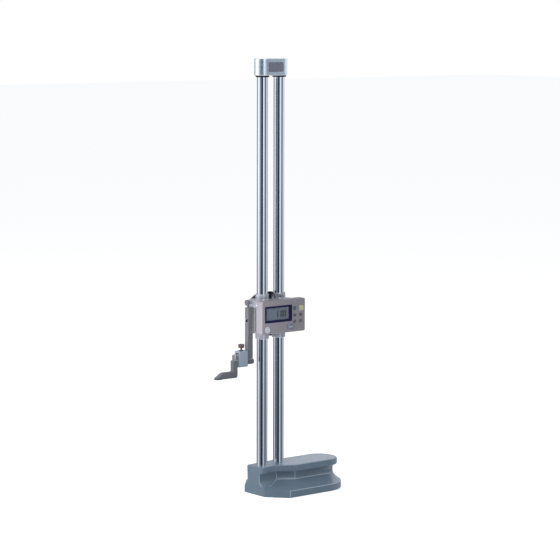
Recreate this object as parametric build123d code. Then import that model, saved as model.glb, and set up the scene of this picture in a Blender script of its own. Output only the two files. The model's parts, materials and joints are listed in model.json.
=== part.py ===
"""Twin-column digital height gauge: an iron base, two ground columns tied by a cap, and a slider
with a display, a rack drive, a jaw and a clamped scriber.

Millimetres, +Z up.  The origin lies on the base's lapped underside, midway between the columns.
-X is the scriber's side, -Y is the display's side.
"""
from build123d import *
from math import cos, floor, pi, radians, sin, sqrt, tan
from typing import NamedTuple
import os

os.makedirs("parts", exist_ok=True)

# ---------------------------------------------------------------- clearances
running_gap = 0.03          # radial, shaft or column in its bush
sliding_gap = 0.05          # between flat faces that slide
free_gap = 0.15             # radial, where two pieces pass without guiding
stop_gap = 0.3              # left at the end of a travel
plug_gap = 0.1              # a brass plug or shoe before it is tightened
panel_gap = 0.12            # a key or cap in its hole in the panel

# ---------------------------------------------------------------- columns, base and cap
column_dia = 20.0
column_spacing = 38.0
column_seat_z = 14.0        # shoulder in the base that a column stands on
gauge_height = 786.0
cap_height = 30.0
cap_radius = 15.0
cap_edge = 1.0
cap_web = 12.0              # metal left above the column ends
ring_height = 3.0
ring_dia = 24.5

base_height = 52.0
base_length = 181.0
front_setback = 17.0        # main column axis to the base's front face
flange_half = 64.5
flange_front_half = 29.5
flange_chamfer_length = 31.0
flange_end_radius = 56.0
flange_edge_height = 13.0
flare_rise = 0.5            # flange's edge to the foot of the front's flare
flare_height = 9.0          # the front's flare from flange width to neck width
slab_thickness = 12.0
neck_half = 21.5
notch_length = 33.0         # front face to the narrowest place of the slab
notch_near = 15.5
notch_far = 24.5
slab_chamfer_length = 34.0  # narrowest place to the full width
slab_near = 37.0            # the grip side is wider than the far side
slab_far = 28.0
slab_end_radius = 31.0
slab_top_fillet = 2.0
slab_under_fillet = 1.5
front_plate = 5.0
groove_depth = 8.0          # finger groove, in from the slab's edge
groove_notch_shift = 8.8    # the groove's narrowest place lies behind the slab's
groove_notch_depth = 4.0
groove_steps = 9
groove_cove_share = 0.62    # height share where the groove is deepest
groove_cove_power = 2.6     # how quickly the foot's top rises into the groove
groove_overhang = 0.10      # share by which the groove comes out again under the slab
foot_nose = 0.5             # the foot's short straight edge behind its front face
waist_front_half = 13.5
underside_rim = 12.0
underside_recess = 3.0
underside_pad_half = 13.0

column_bolt_dia = 8.0
column_bolt_head = 13.0
column_bolt_head_height = 6.0
column_bolt_reach = 20.0
column_washer_dia = 14.5
column_washer_thickness = 1.5
counterbore_dia = 15.5
counterbore_depth = 9.5
cap_screw_dia = 5.0
cap_screw_head = 8.5
cap_screw_head_height = 5.0
cap_screw_reach = 12.0
cap_counterbore_depth = 5.5
hex_key_depth = 2.5

# ---------------------------------------------------------------- rack, pinion and scale
module = 1.0
pinion_teeth = 17
pressure_angle = radians(20)
flank_backlash = 0.05       # taken off each flank
rack_width = 8.0
rack_seat = 4.5             # main column axis to the slot's floor
rack_pitch_line = 8.0       # main column axis to the rack's pitch line
dedendum = 1.25             # in modules
rack_start = 4.0            # base's top to the rack's lower end
rack_end_margin = 4.0       # slot end to the cap's ring
rack_plain_end = 40.0
rack_screw_dia = 2.5
rack_screw_head = 4.0
rack_screw_head_height = 1.0
rack_screw_inset = 12.0
pinion_width = 7.0
scale_width = 8.0
scale_floor = 8.6           # sub column axis to the floor of the scale's flat
scale_thickness = 0.5

# ---------------------------------------------------------------- slider
slider_bottom_z = 295.5
slider_height = 60.0
slider_left = 24.8          # main column axis to the slider's left face
slider_right = 16.0         # sub column axis to the block's right face
slider_front = 16.0
slider_back = 18.0
slider_back_radius = 11.0
pocket_depth = 3.0
arm_height = 12.5           # lip above the jaw's pocket
arm_back = 7.0
boss_dia = 24.5
boss_top_height = 9.5
boss_bottom_height = 11.5
bush_seat_depth = 10.0
bush_dia = 22.0
wiper_height = 2.0
shaft_dia = 8.0
shaft_end_gap = 1.0         # shaft's front end to the bush's mouth
pinion_height = 37.2        # slider's bottom face to the pinion's axis
drive_bore_dia = 20.4
drive_bore_front = 5.0
front_bush_dia = 12.0
front_bush_length = 9.0
rear_bush_length = 9.5
rear_hub_dia = 27.0
rear_hub_height = 2.5
gib_screw_dia = 4.0
gib_screw_drop = 5.5        # boss's top to the screw's axis
gib_screw_turn = -24.0      # degrees, from the front toward the scriber
gib_socket_depth = 0.8
gib_socket_reach = 1.0      # centre to corner

wheel_gap = 0.6
wheel_dia = 60.0
wheel_width = 8.0
wheel_edge_radius = 2.0
wheel_screw_sink = 1.0
wheel_hub_dia = 19.0
wheel_web = 3.5
wheel_rim = 8.0
wheel_flutes = 24
wheel_flute_radius = 3.0
wheel_flute_depth = 0.9
wheel_screw_dia = 4.0
wheel_screw_head = 7.0
wheel_screw_head_height = 4.0
wheel_screw_reach = 12.0
crank_radius = 20.5
crank_pin_dia = 5.0
crank_pin_head = 7.0
crank_pin_head_height = 1.0
finger_knob_dia = 13.0
finger_knob_length = 17.0
finger_knob_waist = 9.4
finger_knob_mouth = 11.2
finger_knob_belly = 12.2    # wheel's end to the widest place

clamp_knob_dia = 9.4
clamp_knob_height = 5.5
clamp_knob_stem = 5.6
clamp_knob_stem_height = 6.7
clamp_knob_edge = 0.9
clamp_spindle_dia = 4.4
clamp_spindle_reach = 6.5   # below the slider's top, to the cone
clamp_cone_height = 2.5
clamp_cone_tip = 1.2
clamp_shoe_dia = 6.0
clamp_drop = 7.5            # slider top to the shoe's axis

lock_drop = 4.0             # slider top to the lock screw's axis
lock_screw_dia = 5.0
lock_head_dia = 11.0
lock_head_thickness = 3.0
lock_stem_length = 8.5
lock_flutes = 16
lock_flute_dia = 1.2
lock_flute_shift = 0.3      # flute centres outside the head's rim
lock_plug_length = 4.4

stop_dia = 5.4
stop_height = 8.0
stop_stud_dia = 3.0
stop_stud_length = 6.0
stop_edge = 1.35

# ---------------------------------------------------------------- display unit
case_length = 99.8          # slider's left face to the case's right end
case_depth = 13.5
case_edge = 1.6
case_corner = 3.0
case_wall = 2.0
cover_thickness = 1.5
bezel_left = 6.7            # case's left edge to the bezel
bezel_right = 30.9          # bezel to the case's right edge
bezel_height = 29.8
bezel_drop = 10.0           # case's top edge to the bezel
bezel_thickness = 1.0
bezel_proud = 0.2
bezel_corner = 1.0
glass_corner = 0.5
glass_left = 3.2            # bezel's left edge to the glass
glass_right = 8.0           # glass to the bezel's right edge
glass_height = 22.0
glass_drop = 3.4            # bezel's top edge to the glass
glass_thickness = 1.5
glass_sink = 0.2
lcd_margin = 2.0
board_thickness = 1.5
board_margin = 1.5
board_floor = 3.5           # board's back to the rear cover
mat_thickness = 2.0
mat_dome_dia = 4.0
key_proud = 1.0
key_flange = 0.8
key_flange_thickness = 1.0
key_corner = 1.4
key_travel = 0.8
key_small_width = 6.4
key_small_height = 5.2
key_power_height = 7.0
key_wide = 9.4
key_first_column = 25.0     # first key column to the case's right edge
key_second_column = 11.4
key_wide_shift = 2.4
key_top_row = 17.4          # case's top edge to the key rows
key_middle_row = 29.8
key_bottom_row = 41.0
battery_cap_dia = 12.4
battery_cap_proud = 1.6
battery_cap_edge = 0.5
battery_cap_x = 35.5        # cap to the case's right edge
battery_cap_z = 10.2        # case's bottom edge to the cap
battery_dia = 11.6
battery_height = 4.0
battery_sleeve_wall = 1.2
data_cap_dia = 11.0
data_cap_proud = 0.8
data_cap_edge = 0.4
data_cap_x = 12.6           # case's left edge to the cap
data_cap_z = 8.2
coin_slot_length = 7.6
coin_slot_width = 1.2
coin_slot_depth = 0.6
cap_thickness = 2.4         # of the battery and data caps
socket_dia = 8.0
socket_wall = 1.0
socket_floor = 1.5
socket_pins = 5
socket_pin_dia = 0.8
socket_pin_circle = 4.0
socket_pin_sink = 1.0
post_dia = 5.0
post_inset = 4.2
standoff_left = 39.9        # case's left edge to the board's left standoff
standoff_right = 12.6       # right standoff to the case's right edge
standoff_inset = 8.4        # from the case's top or bottom edge
case_screw_dia = 2.0
case_screw_head = 3.6
case_screw_head_height = 1.2
case_screw_reach = 6.0
display_screw_dia = 3.0
display_screw_head = 5.5
display_screw_head_height = 2.0
display_screw_reach = 5.0
display_screw_inset = 6.5   # jaw pocket's floor to the left screws
encoder_width = 11.0
encoder_height = 30.0
encoder_gap = 0.35

# ---------------------------------------------------------------- jaw, clamp and scriber
jaw_width = 9.5
jaw_thickness = 10.9
jaw_foot_length = 29.2
jaw_foot_height = 10.3
jaw_foot_bottom_z = 250.0
jaw_flange_half = 9.0
jaw_flange_height = 44.0
jaw_corner = 2.0
jaw_screw_dia = 4.0
jaw_screw_head = 7.0
jaw_screw_head_height = 4.0
jaw_screw_z = 319.5
jaw_screw_reach = 8.0
jaw_screw_sink = 1.0
dowel_dia = 3.0
dowel_inset_z = 5.0
dowel_reach = 5.0
dowel_setback = 0.5         # from the jaw flange's outer face

scriber_width = 9.0
scriber_height = 9.1
scriber_heel = 13.8         # shank's end, behind the jaw's left face
scriber_leg_left = 32.7     # leg's outer face, in front of the jaw's left face
scriber_leg = 9.2
scriber_drop = 31.0         # shank top to measuring face
scriber_foot_height = 11.5
scriber_foot_flat = 22.5
scriber_reach = 37.1        # leg's outer face to the tip
scriber_tip_height = 1.6
scriber_heel_radius = 4.0   # leg to foot, outside
scriber_bend_radius = 1.5   # leg to foot, inside
scriber_shank_radius = 3.0
carbide_length = 12.5
carbide_thickness = 2.0

clamp_start = 2.4           # jaw's left face to the clamp box
clamp_length = 19.0
clamp_wall_side = 2.2
clamp_wall_bottom = 3.5
clamp_wall_top = 3.5
clamp_corner = 1.0
pad_inset = 2.0             # from each end of the clamp box
pad_thickness = 2.4
pad_corner = 1.0
thumb_dia = 4.0
thumb_head_dia = 11.0
thumb_head_height = 7.0
thumb_head_edge = 1.75
thumb_neck_height = 3.6
thumb_neck_dia = 3.4
thumb_collar_dia = 6.5
thumb_collar_height = 0.8
thumb_flutes = 20
thumb_flute_dia = 1.4
thumb_flute_shift = 0.35    # flute centres outside the head's rim
clamp_washer_dia = 9.0
clamp_washer_thickness = 0.6

# ---------------------------------------------------------------- sizes that follow
main_x = -column_spacing / 2
sub_x = column_spacing / 2
column_r = column_dia / 2
cap_bottom_z = gauge_height - cap_height
column_top_z = gauge_height - cap_web
ring_bottom_z = cap_bottom_z - ring_height
front_x = main_x - front_setback
end_x = front_x + base_length
slab_bottom_z = base_height - slab_thickness
flare_z = flange_edge_height + flare_rise
notch_x = front_x + notch_length
slab_full_x = notch_x + slab_chamfer_length

pitch_r = module * pinion_teeth / 2
tip_r = pitch_r + module
root_r = pitch_r - dedendum * module
drive_x = main_x + rack_pitch_line + pitch_r
slider_top_z = slider_bottom_z + slider_height
drive_z = slider_bottom_z + pinion_height
boss_top_z = slider_top_z + boss_top_height
boss_bottom_z = slider_bottom_z - boss_bottom_height
rack_bottom_z = base_height + rack_start
rack_tip_x = main_x + rack_pitch_line + module
rack_root_x = main_x + rack_pitch_line - dedendum * module
rack_top_z = ring_bottom_z - rack_end_margin

left_x = main_x - slider_left
right_x = sub_x + slider_right
pocket_x = left_x + pocket_depth
arm_z = slider_top_z - arm_height
cover_front = -slider_front - cover_thickness
case_front = cover_front - case_depth
panel_back = case_front + case_wall
case_right = left_x + case_length
bezel_length = case_length - bezel_left - bezel_right
glass_length = bezel_length - glass_left - glass_right
key_x = (case_right - key_first_column, case_right - key_second_column)
board_back = cover_front - board_floor
board_front = board_back - board_thickness
wheel_y = slider_back + rear_hub_height + wheel_gap
wheel_back = wheel_y + wheel_width
web_y = wheel_y + (wheel_width - wheel_web) / 2
wheel_screw_seat = wheel_back - wheel_screw_sink - wheel_screw_head_height
crank_x = drive_x + crank_radius - wheel_rim / 2
knob_y = wheel_back + stop_gap
knob_back = knob_y + finger_knob_length

jaw_left = left_x - jaw_thickness
jaw_screw_seat = jaw_left + jaw_screw_sink + jaw_screw_head_height
shank_bottom_z = jaw_foot_bottom_z - scriber_height
face_z = jaw_foot_bottom_z - scriber_drop
foot_top_z = jaw_foot_bottom_z + jaw_foot_height
clamp_right = jaw_left - clamp_start
clamp_left = clamp_right - clamp_length
clamp_x = (clamp_left + clamp_right) / 2
clamp_inner_top = foot_top_z + pad_thickness + sliding_gap
clamp_top_z = clamp_inner_top + clamp_wall_top
clamp_bottom_z = shank_bottom_z - sliding_gap - clamp_wall_bottom

BOTTOM = (Align.CENTER, Align.CENTER, Align.MIN)


# ---------------------------------------------------------------- helpers
def block(x0, x1, y0, y1, z0, z1):
    """A box between two corners."""
    return Pos((x0 + x1) / 2, (y0 + y1) / 2, (z0 + z1) / 2) * Box(x1 - x0, y1 - y0, z1 - z0)


def rod_z(x, y, z0, z1, dia):
    """A round bar along Z."""
    return Pos(x, y, z0) * Cylinder(dia / 2, z1 - z0, align=BOTTOM)


def rod_y(x, y0, y1, z, dia):
    """A round bar along Y."""
    return Pos(x, y0, z) * Rot(-90, 0, 0) * Cylinder(dia / 2, y1 - y0, align=BOTTOM)


def rod_x(x0, x1, y, z, dia):
    """A round bar along X."""
    return Pos(x0, y, z) * Rot(0, 90, 0) * Cylinder(dia / 2, x1 - x0, align=BOTTOM)


def tube_z(x, y, z0, z1, outer, inner):
    """A round sleeve along Z."""
    return rod_z(x, y, z0, z1, outer) - rod_z(x, y, z0, z1, inner)


def hex_z(x, y, z0, z1, dia):
    """A hexagonal prism along Z, for a key socket."""
    return Pos(x, y, z0) * extrude(RegularPolygon(dia / 2, 6), z1 - z0)


def panel_plate(x, z, width, height, corner, y0, y1):
    """A plate parallel to the display panel, with rounded corners, centred at x, z."""
    face = Plane.XZ.offset(-y0) * (Pos(x, z) * RectangleRounded(width, height, corner))
    return extrude(face, -(y1 - y0))


def both(shape_at):
    """The same shape at the main column and at the sub column."""
    return shape_at(main_x) + shape_at(sub_x)


def save(name, shape):
    """Write one piece, or one group of equal pieces, under its name."""
    solids = shape.solids()
    piece = solids[0] if len(solids) == 1 else Compound(children=solids)
    piece.label = name
    export_step(piece, f"parts/{name}.step")


# ---------------------------------------------------------------- base
class Outline(NamedTuple):
    """One level outline of the base: front, narrowest place, full width and rounded far end."""

    front_half: float
    notch_x: float
    notch_near: float
    notch_far: float
    full_x: float
    near: float
    far: float
    end: float
    radius: float

    def toward(self, other, share):
        """The outline that lies a share of the way to another one."""
        return Outline(*[a + (b - a) * share for a, b in zip(self, other)])

    def face(self, front, z):
        """The outline as a face at height z, starting at a front position."""
        near = [(front, -self.front_half), (self.notch_x, -self.notch_near), (self.full_x, -self.near),
                (self.end - self.radius, -self.near)]
        far = [(self.end - self.radius, self.far), (self.full_x, self.far),
               (self.notch_x, self.notch_far), (front, self.front_half)]
        corner = self.radius * (1 - cos(pi / 4))
        turn_near = (self.end, -self.near + self.radius)
        turn_far = (self.end, self.far - self.radius)
        line = Polyline(*near)
        line += ThreePointArc(near[-1], (self.end - corner, -self.near + corner), turn_near)
        line += Line(turn_near, turn_far)
        line += ThreePointArc(turn_far, (self.end - corner, self.far - corner), far[0])
        line += Polyline(*far, near[0])
        return Pos(0, 0, z) * make_face(line)


def foot_outline(inset):
    """Outline of the broad foot, drawn in by an inset."""
    half = flange_front_half - inset
    return Outline(half, front_x + inset + foot_nose, half, half, front_x + flange_chamfer_length + inset / 2,
                   flange_half - inset, flange_half - inset, end_x - inset, flange_end_radius - inset)


def slab_outline():
    """Outline of the grip slab, with the notch in its near side."""
    return Outline(neck_half, notch_x, notch_near, notch_far, slab_full_x, slab_near, slab_far, end_x,
                   slab_end_radius)


def waist_outline():
    """Outline of the deepest level of the finger groove."""
    notch = notch_x + groove_notch_shift
    return Outline(waist_front_half, notch, notch_near - groove_notch_depth,
                   notch_far - groove_depth, slab_full_x + groove_notch_depth, slab_near - groove_depth,
                   slab_far - groove_depth, end_x - groove_depth, slab_end_radius - groove_depth)


def groove_share(up):
    """How far the wall has drawn in at a share of the groove's height: a cove under the slab."""
    if up < groove_cove_share:
        return 1 - (1 - up / groove_cove_share) ** groove_cove_power
    return 1 - groove_overhang * ((up - groove_cove_share) / (1 - groove_cove_share)) ** 2


def make_base_casting():
    """The enamelled iron base: broad foot, finger groove, neck and grip slab."""
    groove_height = slab_bottom_z - flange_edge_height
    foot = extrude(foot_outline(0).face(front_x, 0), flange_edge_height)
    sections = [foot_outline(0).toward(waist_outline(), groove_share(step / groove_steps))
                .face(front_x, flange_edge_height + groove_height * step / groove_steps)
                for step in range(groove_steps + 1)]
    waist = loft(sections, ruled=True)

    slab = extrude(slab_outline().face(front_x, slab_bottom_z), slab_thickness)
    slab = fillet(slab.faces().sort_by(Axis.Z)[-1].edges(), slab_top_fillet)
    slab = fillet(slab.faces().sort_by(Axis.Z)[0].edges().filter_by(
        lambda e: e.center().X > front_x + slab_top_fillet), slab_under_fillet)

    far_front = [(0, 0), (flange_front_half, 0), (flange_front_half, flare_z),
                 (neck_half, flare_z + flare_height), (neck_half, base_height - slab_top_fillet),
                 (0, base_height - slab_top_fillet)]
    front_face = make_face(Polyline(*far_front, far_front[0]))
    plate = Pos(front_x, 0, 0) * extrude(Plane.YZ * front_face, front_plate)

    base = foot + waist + slab + plate
    hollow = extrude(foot_outline(underside_rim).face(front_x + underside_rim, 0), underside_recess)
    pad_x = column_spacing / 2 + underside_pad_half
    hollow -= block(-pad_x, pad_x, -underside_pad_half, underside_pad_half, 0, underside_recess)
    base -= hollow
    base -= both(lambda x: rod_z(x, 0, column_seat_z, base_height + 1, column_dia))
    base -= both(lambda x: rod_z(x, 0, 0, column_seat_z, column_bolt_dia + 2 * free_gap))
    base -= both(lambda x: rod_z(x, 0, 0, counterbore_depth, counterbore_dia))
    return base


def column_bolt(x):
    """A socket screw from below, its head in the base's counterbore."""
    head_top = counterbore_depth - column_washer_thickness
    head_bottom = head_top - column_bolt_head_height
    bolt = rod_z(x, 0, head_bottom, head_top, column_bolt_head)
    bolt += rod_z(x, 0, head_top, column_seat_z + column_bolt_reach, column_bolt_dia)
    return bolt - hex_z(x, 0, head_bottom, head_bottom + hex_key_depth, column_bolt_dia)


def column_washer(x):
    """The washer above the bolt's head."""
    z0 = counterbore_depth - column_washer_thickness
    return tube_z(x, 0, z0, counterbore_depth, column_washer_dia, column_bolt_dia + 2 * free_gap)


def plain_column(x):
    """A ground bar with a tapped hole in each end."""
    bar = rod_z(x, 0, column_seat_z, column_top_z, column_dia)
    bar -= rod_z(x, 0, column_seat_z, column_seat_z + column_bolt_reach, column_bolt_dia)
    return bar - rod_z(x, 0, column_top_z - cap_screw_reach, column_top_z, cap_screw_dia)


def make_main_column():
    """The column that carries the rack in a milled slot."""
    slot = block(main_x + rack_seat, main_x + column_r + 1, -rack_width / 2, rack_width / 2,
                 rack_bottom_z, rack_top_z)
    column = plain_column(main_x) - slot
    return column - rack_fixings(rack_screw_dia, rack_screw_head)


def make_sub_column():
    """The column that carries the scale on a milled flat."""
    flat = block(sub_x - scale_width / 2, sub_x + scale_width / 2, scale_floor, column_r + 1,
                 rack_bottom_z, rack_top_z)
    return plain_column(sub_x) - flat


def make_top_cap():
    """The bridge that ties both column tops."""
    outline = Pos(0, 0, cap_bottom_z) * SlotCenterToCenter(column_spacing, 2 * cap_radius)
    cap = extrude(outline, cap_height)
    cap = fillet(cap.faces().sort_by(Axis.Z)[-1].edges() + cap.faces().sort_by(Axis.Z)[0].edges(), cap_edge)
    cap -= both(lambda x: rod_z(x, 0, cap_bottom_z, column_top_z, column_dia))
    cap -= both(lambda x: rod_z(x, 0, column_top_z, gauge_height, cap_screw_dia + 2 * free_gap))
    sunk = gauge_height - cap_counterbore_depth
    return cap - both(lambda x: rod_z(x, 0, sunk, gauge_height, cap_screw_head + 2 * free_gap))


def cap_screw(x):
    """A socket screw down through the cap into its column."""
    head_z = gauge_height - cap_counterbore_depth
    top = head_z + cap_screw_head_height
    screw = rod_z(x, 0, head_z, top, cap_screw_head)
    screw += rod_z(x, 0, column_top_z - cap_screw_reach, head_z, cap_screw_dia)
    return screw - hex_z(x, 0, top - hex_key_depth, top, cap_screw_dia)


# ---------------------------------------------------------------- rack and pinion
def make_rack_strip():
    """A toothed strip seated in the main column's slot, with plain ends for its screws."""
    pitch = pi * module
    half_pitch_tooth = pitch / 4 - flank_backlash / cos(pressure_angle)
    half_tip = half_pitch_tooth - module * tan(pressure_angle)
    half_root = half_pitch_tooth + dedendum * module * tan(pressure_angle)
    first = floor((drive_z - rack_bottom_z - rack_plain_end) / pitch)
    last = floor((rack_top_z - rack_plain_end / 2 - drive_z) / pitch)
    points = [(main_x + rack_seat, rack_bottom_z), (rack_root_x, rack_bottom_z)]
    for number in range(-first, last):
        centre = drive_z + (number + 0.5) * pitch
        points.append((rack_root_x, centre - half_root))
        points.append((rack_tip_x, centre - half_tip))
        points.append((rack_tip_x, centre + half_tip))
        points.append((rack_root_x, centre + half_root))
    points += [(rack_root_x, rack_top_z), (main_x + rack_seat, rack_top_z)]
    face = make_face(Plane.XZ * Polyline(*points, points[0]))
    strip = extrude(face, rack_width / 2, both=True)
    return strip - rack_fixings(rack_screw_dia, rack_screw_head)


def rack_fixings(shank_dia, head_dia):
    """The two screws that hold the rack's plain ends, or the holes that they sit in."""
    end_heights = (rack_bottom_z + rack_screw_inset, rack_top_z - rack_screw_inset / 2)
    shape = None
    for z in end_heights:
        screw = rod_x(main_x - rack_seat / 2, rack_root_x, 0, z, shank_dia)
        screw += rod_x(rack_root_x - rack_screw_head_height, rack_root_x, 0, z, head_dia)
        shape = screw if shape is None else shape + screw
    return shape


def involute(angle, base_r):
    """A point of the involute of a circle, unrolled by an angle."""
    return (base_r * (cos(angle) + angle * sin(angle)), base_r * (sin(angle) - angle * cos(angle)))


def make_pinion():
    """An involute spur gear whose tooth points at the rack when the slider is at rest."""
    base_r = pitch_r * cos(pressure_angle)
    tip_roll = sqrt((tip_r / base_r) ** 2 - 1)
    pitch_half = pi / (2 * pinion_teeth) - flank_backlash / pitch_r / cos(pressure_angle)
    flank_turn = pitch_half + tan(pressure_angle) - pressure_angle
    steps = 4
    flank = [involute(tip_roll * step / steps, base_r) for step in range(steps + 1)]
    points = []
    for tooth in range(pinion_teeth):
        mid = pi + 2 * pi * tooth / pinion_teeth
        root_half = flank_turn
        lower = [(x, -y) for x, y in flank]
        points.append(turned((root_r, 0), mid - root_half))
        points += [turned((x, y), mid - flank_turn) for x, y in flank]
        points += [turned(point, mid + flank_turn) for point in reversed(lower)]
        points.append(turned((root_r, 0), mid + root_half))
    face = make_face(Plane.XZ * Polyline(*points, points[0]))
    gear = Pos(drive_x, 0, drive_z) * extrude(face, pinion_width / 2, both=True)
    return gear - rod_y(drive_x, -pinion_width, pinion_width, drive_z, shaft_dia)


def turned(point, angle):
    """A point turned about the origin."""
    x, y = point
    return (x * cos(angle) - y * sin(angle), x * sin(angle) + y * cos(angle))


def make_pinion_shaft():
    """The shaft from the front bush to the handwheel's hub."""
    start = -drive_bore_front - front_bush_length + shaft_end_gap
    shaft = rod_y(drive_x, start, wheel_screw_seat, drive_z, shaft_dia)
    screw_from = wheel_screw_seat - wheel_screw_reach
    return shaft - rod_y(drive_x, screw_from, wheel_screw_seat, drive_z, wheel_screw_dia)


def make_handwheel():
    """The fluted handwheel behind the slider, with a recessed web and a crank hole."""
    r = wheel_dia / 2
    inner = r - wheel_rim
    blank = rod_y(drive_x, wheel_y, wheel_back, drive_z, wheel_dia)
    blank = fillet(blank.edges().filter_by(GeomType.CIRCLE), wheel_edge_radius)
    for y0, y1 in ((wheel_y, web_y), (web_y + wheel_web, wheel_back)):
        groove = rod_y(drive_x, y0, y1, drive_z, 2 * inner) - rod_y(drive_x, y0, y1, drive_z, wheel_hub_dia)
        blank -= groove
    for number in range(wheel_flutes):
        angle = 2 * pi * number / wheel_flutes
        reach = r + wheel_flute_radius - wheel_flute_depth
        blank -= rod_y(drive_x + reach * cos(angle), wheel_y, wheel_back,
                       drive_z + reach * sin(angle), 2 * wheel_flute_radius)
    head = wheel_screw_head + 2 * free_gap
    blank -= rod_y(drive_x, wheel_y, wheel_back, drive_z, shaft_dia)
    blank -= rod_y(drive_x, wheel_screw_seat, wheel_back, drive_z, head)
    blank += rod_y(crank_x, web_y, wheel_back, drive_z, finger_knob_dia)
    return blank - rod_y(crank_x, wheel_y, wheel_back, drive_z, crank_pin_dia)


def make_crank_pin():
    """The pin that the finger knob turns on, with a head that keeps it there."""
    pin = rod_y(crank_x, web_y, knob_back, drive_z, crank_pin_dia)
    return pin + rod_y(crank_x, knob_back - crank_pin_head_height, knob_back, drive_z, crank_pin_head)


def make_finger_knob():
    """A waisted knob that spins on the crank pin."""
    length = finger_knob_length
    waist = finger_knob_waist / 2
    mouth = finger_knob_mouth / 2
    side = Spline((waist, 0), (finger_knob_dia / 2, finger_knob_belly), (mouth, length))
    outline = Line((0, 0), (waist, 0)) + side + Polyline((mouth, length), (0, length), (0, 0))
    knob = Pos(crank_x, knob_y, drive_z) * revolve(make_face(outline), Axis.Y)
    knob -= rod_y(crank_x, knob_y, knob_back, drive_z, crank_pin_dia + 2 * running_gap)
    recess_y = knob_back - crank_pin_head_height - free_gap
    return knob - rod_y(crank_x, recess_y, knob_back, drive_z, crank_pin_head + 2 * free_gap)


def make_wheel_screw():
    """The socket screw that holds the handwheel on its shaft."""
    head_back = wheel_screw_seat + wheel_screw_head_height
    screw = rod_y(drive_x, wheel_screw_seat, head_back, drive_z, wheel_screw_head)
    screw += rod_y(drive_x, wheel_screw_seat - wheel_screw_reach, wheel_screw_seat, drive_z, wheel_screw_dia)
    hexagon = Pos(drive_x, head_back, drive_z) * Rot(90, 0, 0)
    return screw - hexagon * extrude(RegularPolygon(wheel_screw_dia / 2, 6), hex_key_depth)


# ---------------------------------------------------------------- slider
def make_slider_block():
    """The slider: a body on both columns, with round bosses, a jaw pocket and the drive's bores."""
    body = block(pocket_x, right_x, -slider_front, slider_back, slider_bottom_z, slider_top_z)
    body = fillet(body.edges().filter_by(Axis.Z).group_by(Axis.Y)[-1], slider_back_radius)
    body += block(left_x, pocket_x, -slider_front, arm_back, arm_z, slider_top_z)
    body += both(lambda x: rod_z(x, 0, boss_bottom_z, boss_top_z, boss_dia))
    body += rod_y(drive_x, slider_back - 1, slider_back + rear_hub_height, drive_z, rear_hub_dia)
    body -= both(lambda x: rod_z(x, 0, boss_bottom_z, boss_top_z, column_dia + 2 * free_gap))
    for z0, z1 in ((boss_top_z - bush_seat_depth, boss_top_z),
                   (boss_bottom_z, boss_bottom_z + bush_seat_depth)):
        body -= both(lambda x: rod_z(x, 0, z0, z1, bush_dia))
    body -= rod_y(drive_x, -drive_bore_front, slider_back + rear_hub_height + 1, drive_z, drive_bore_dia)
    body -= rod_y(drive_x, -drive_bore_front - front_bush_length, 0, drive_z, front_bush_dia)
    body -= encoder_space()
    body -= rod_z(0, 0, slider_top_z - clamp_spindle_reach - clamp_cone_height, slider_top_z + 1,
                  clamp_spindle_dia + 2 * running_gap)
    body -= rod_x(-clamp_spindle_dia / 2, sub_x, 0, slider_top_z - clamp_drop, clamp_shoe_dia + 2 * free_gap)
    body -= rod_x(left_x - 1, main_x, 0, slider_top_z - lock_drop, lock_screw_dia + 2 * running_gap)
    body -= gib_place() * rod_y(0, -boss_dia, 0, 0, gib_screw_dia)
    body -= rod_z(0, 0, slider_bottom_z - 1, slider_bottom_z + stop_stud_length, stop_stud_dia)
    body -= display_fixings(display_screw_dia, display_screw_reach)
    body -= jaw_screw_shank()
    return body - jaw_dowels()


def column_bushes():
    """Four guide bushes, one at each end of each bore."""
    length = bush_seat_depth - wiper_height
    inner = column_dia + 2 * running_gap
    top = boss_top_z - bush_seat_depth
    low = boss_bottom_z + wiper_height
    upper = both(lambda x: tube_z(x, 0, top, top + length, bush_dia, inner))
    return upper + both(lambda x: tube_z(x, 0, low, low + length, bush_dia, inner))


def wiper_rings():
    """Four felt wipers outside the bushes."""
    inner = column_dia + 2 * sliding_gap
    upper = both(lambda x: tube_z(x, 0, boss_top_z - wiper_height, boss_top_z, bush_dia, inner))
    low = boss_bottom_z
    return upper + both(lambda x: tube_z(x, 0, low, low + wiper_height, bush_dia, inner))


def gib_place():
    """The set screw's axis: level, through the sub column, turned toward the scriber."""
    return Pos(sub_x, 0, boss_top_z - gib_screw_drop) * Rot(0, 0, gib_screw_turn)


def make_gib_screw():
    """The set screw in the right upper boss."""
    mouth = -sqrt((boss_dia / 2) ** 2 - (gib_screw_dia / 2) ** 2)
    screw = rod_y(0, mouth, -bush_dia / 2, 0, gib_screw_dia)
    hexagon = RegularPolygon(gib_socket_reach, 6)
    socket = Pos(0, mouth, 0) * Rot(-90, 0, 0) * extrude(hexagon, gib_socket_depth)
    return gib_place() * (screw - socket)


def make_front_shaft_bush():
    """The blind-end bush for the pinion shaft."""
    y0 = -drive_bore_front - front_bush_length
    bush = rod_y(drive_x, y0, -drive_bore_front, drive_z, front_bush_dia)
    return bush - rod_y(drive_x, y0, 0, drive_z, shaft_dia + 2 * running_gap)


def make_rear_shaft_bush():
    """The bush that closes the drive bore behind the pinion."""
    y1 = slider_back + rear_hub_height
    bush = rod_y(drive_x, y1 - rear_bush_length, y1, drive_z, drive_bore_dia)
    return bush - rod_y(drive_x, 0, y1 + 1, drive_z, shaft_dia + 2 * running_gap)


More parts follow.
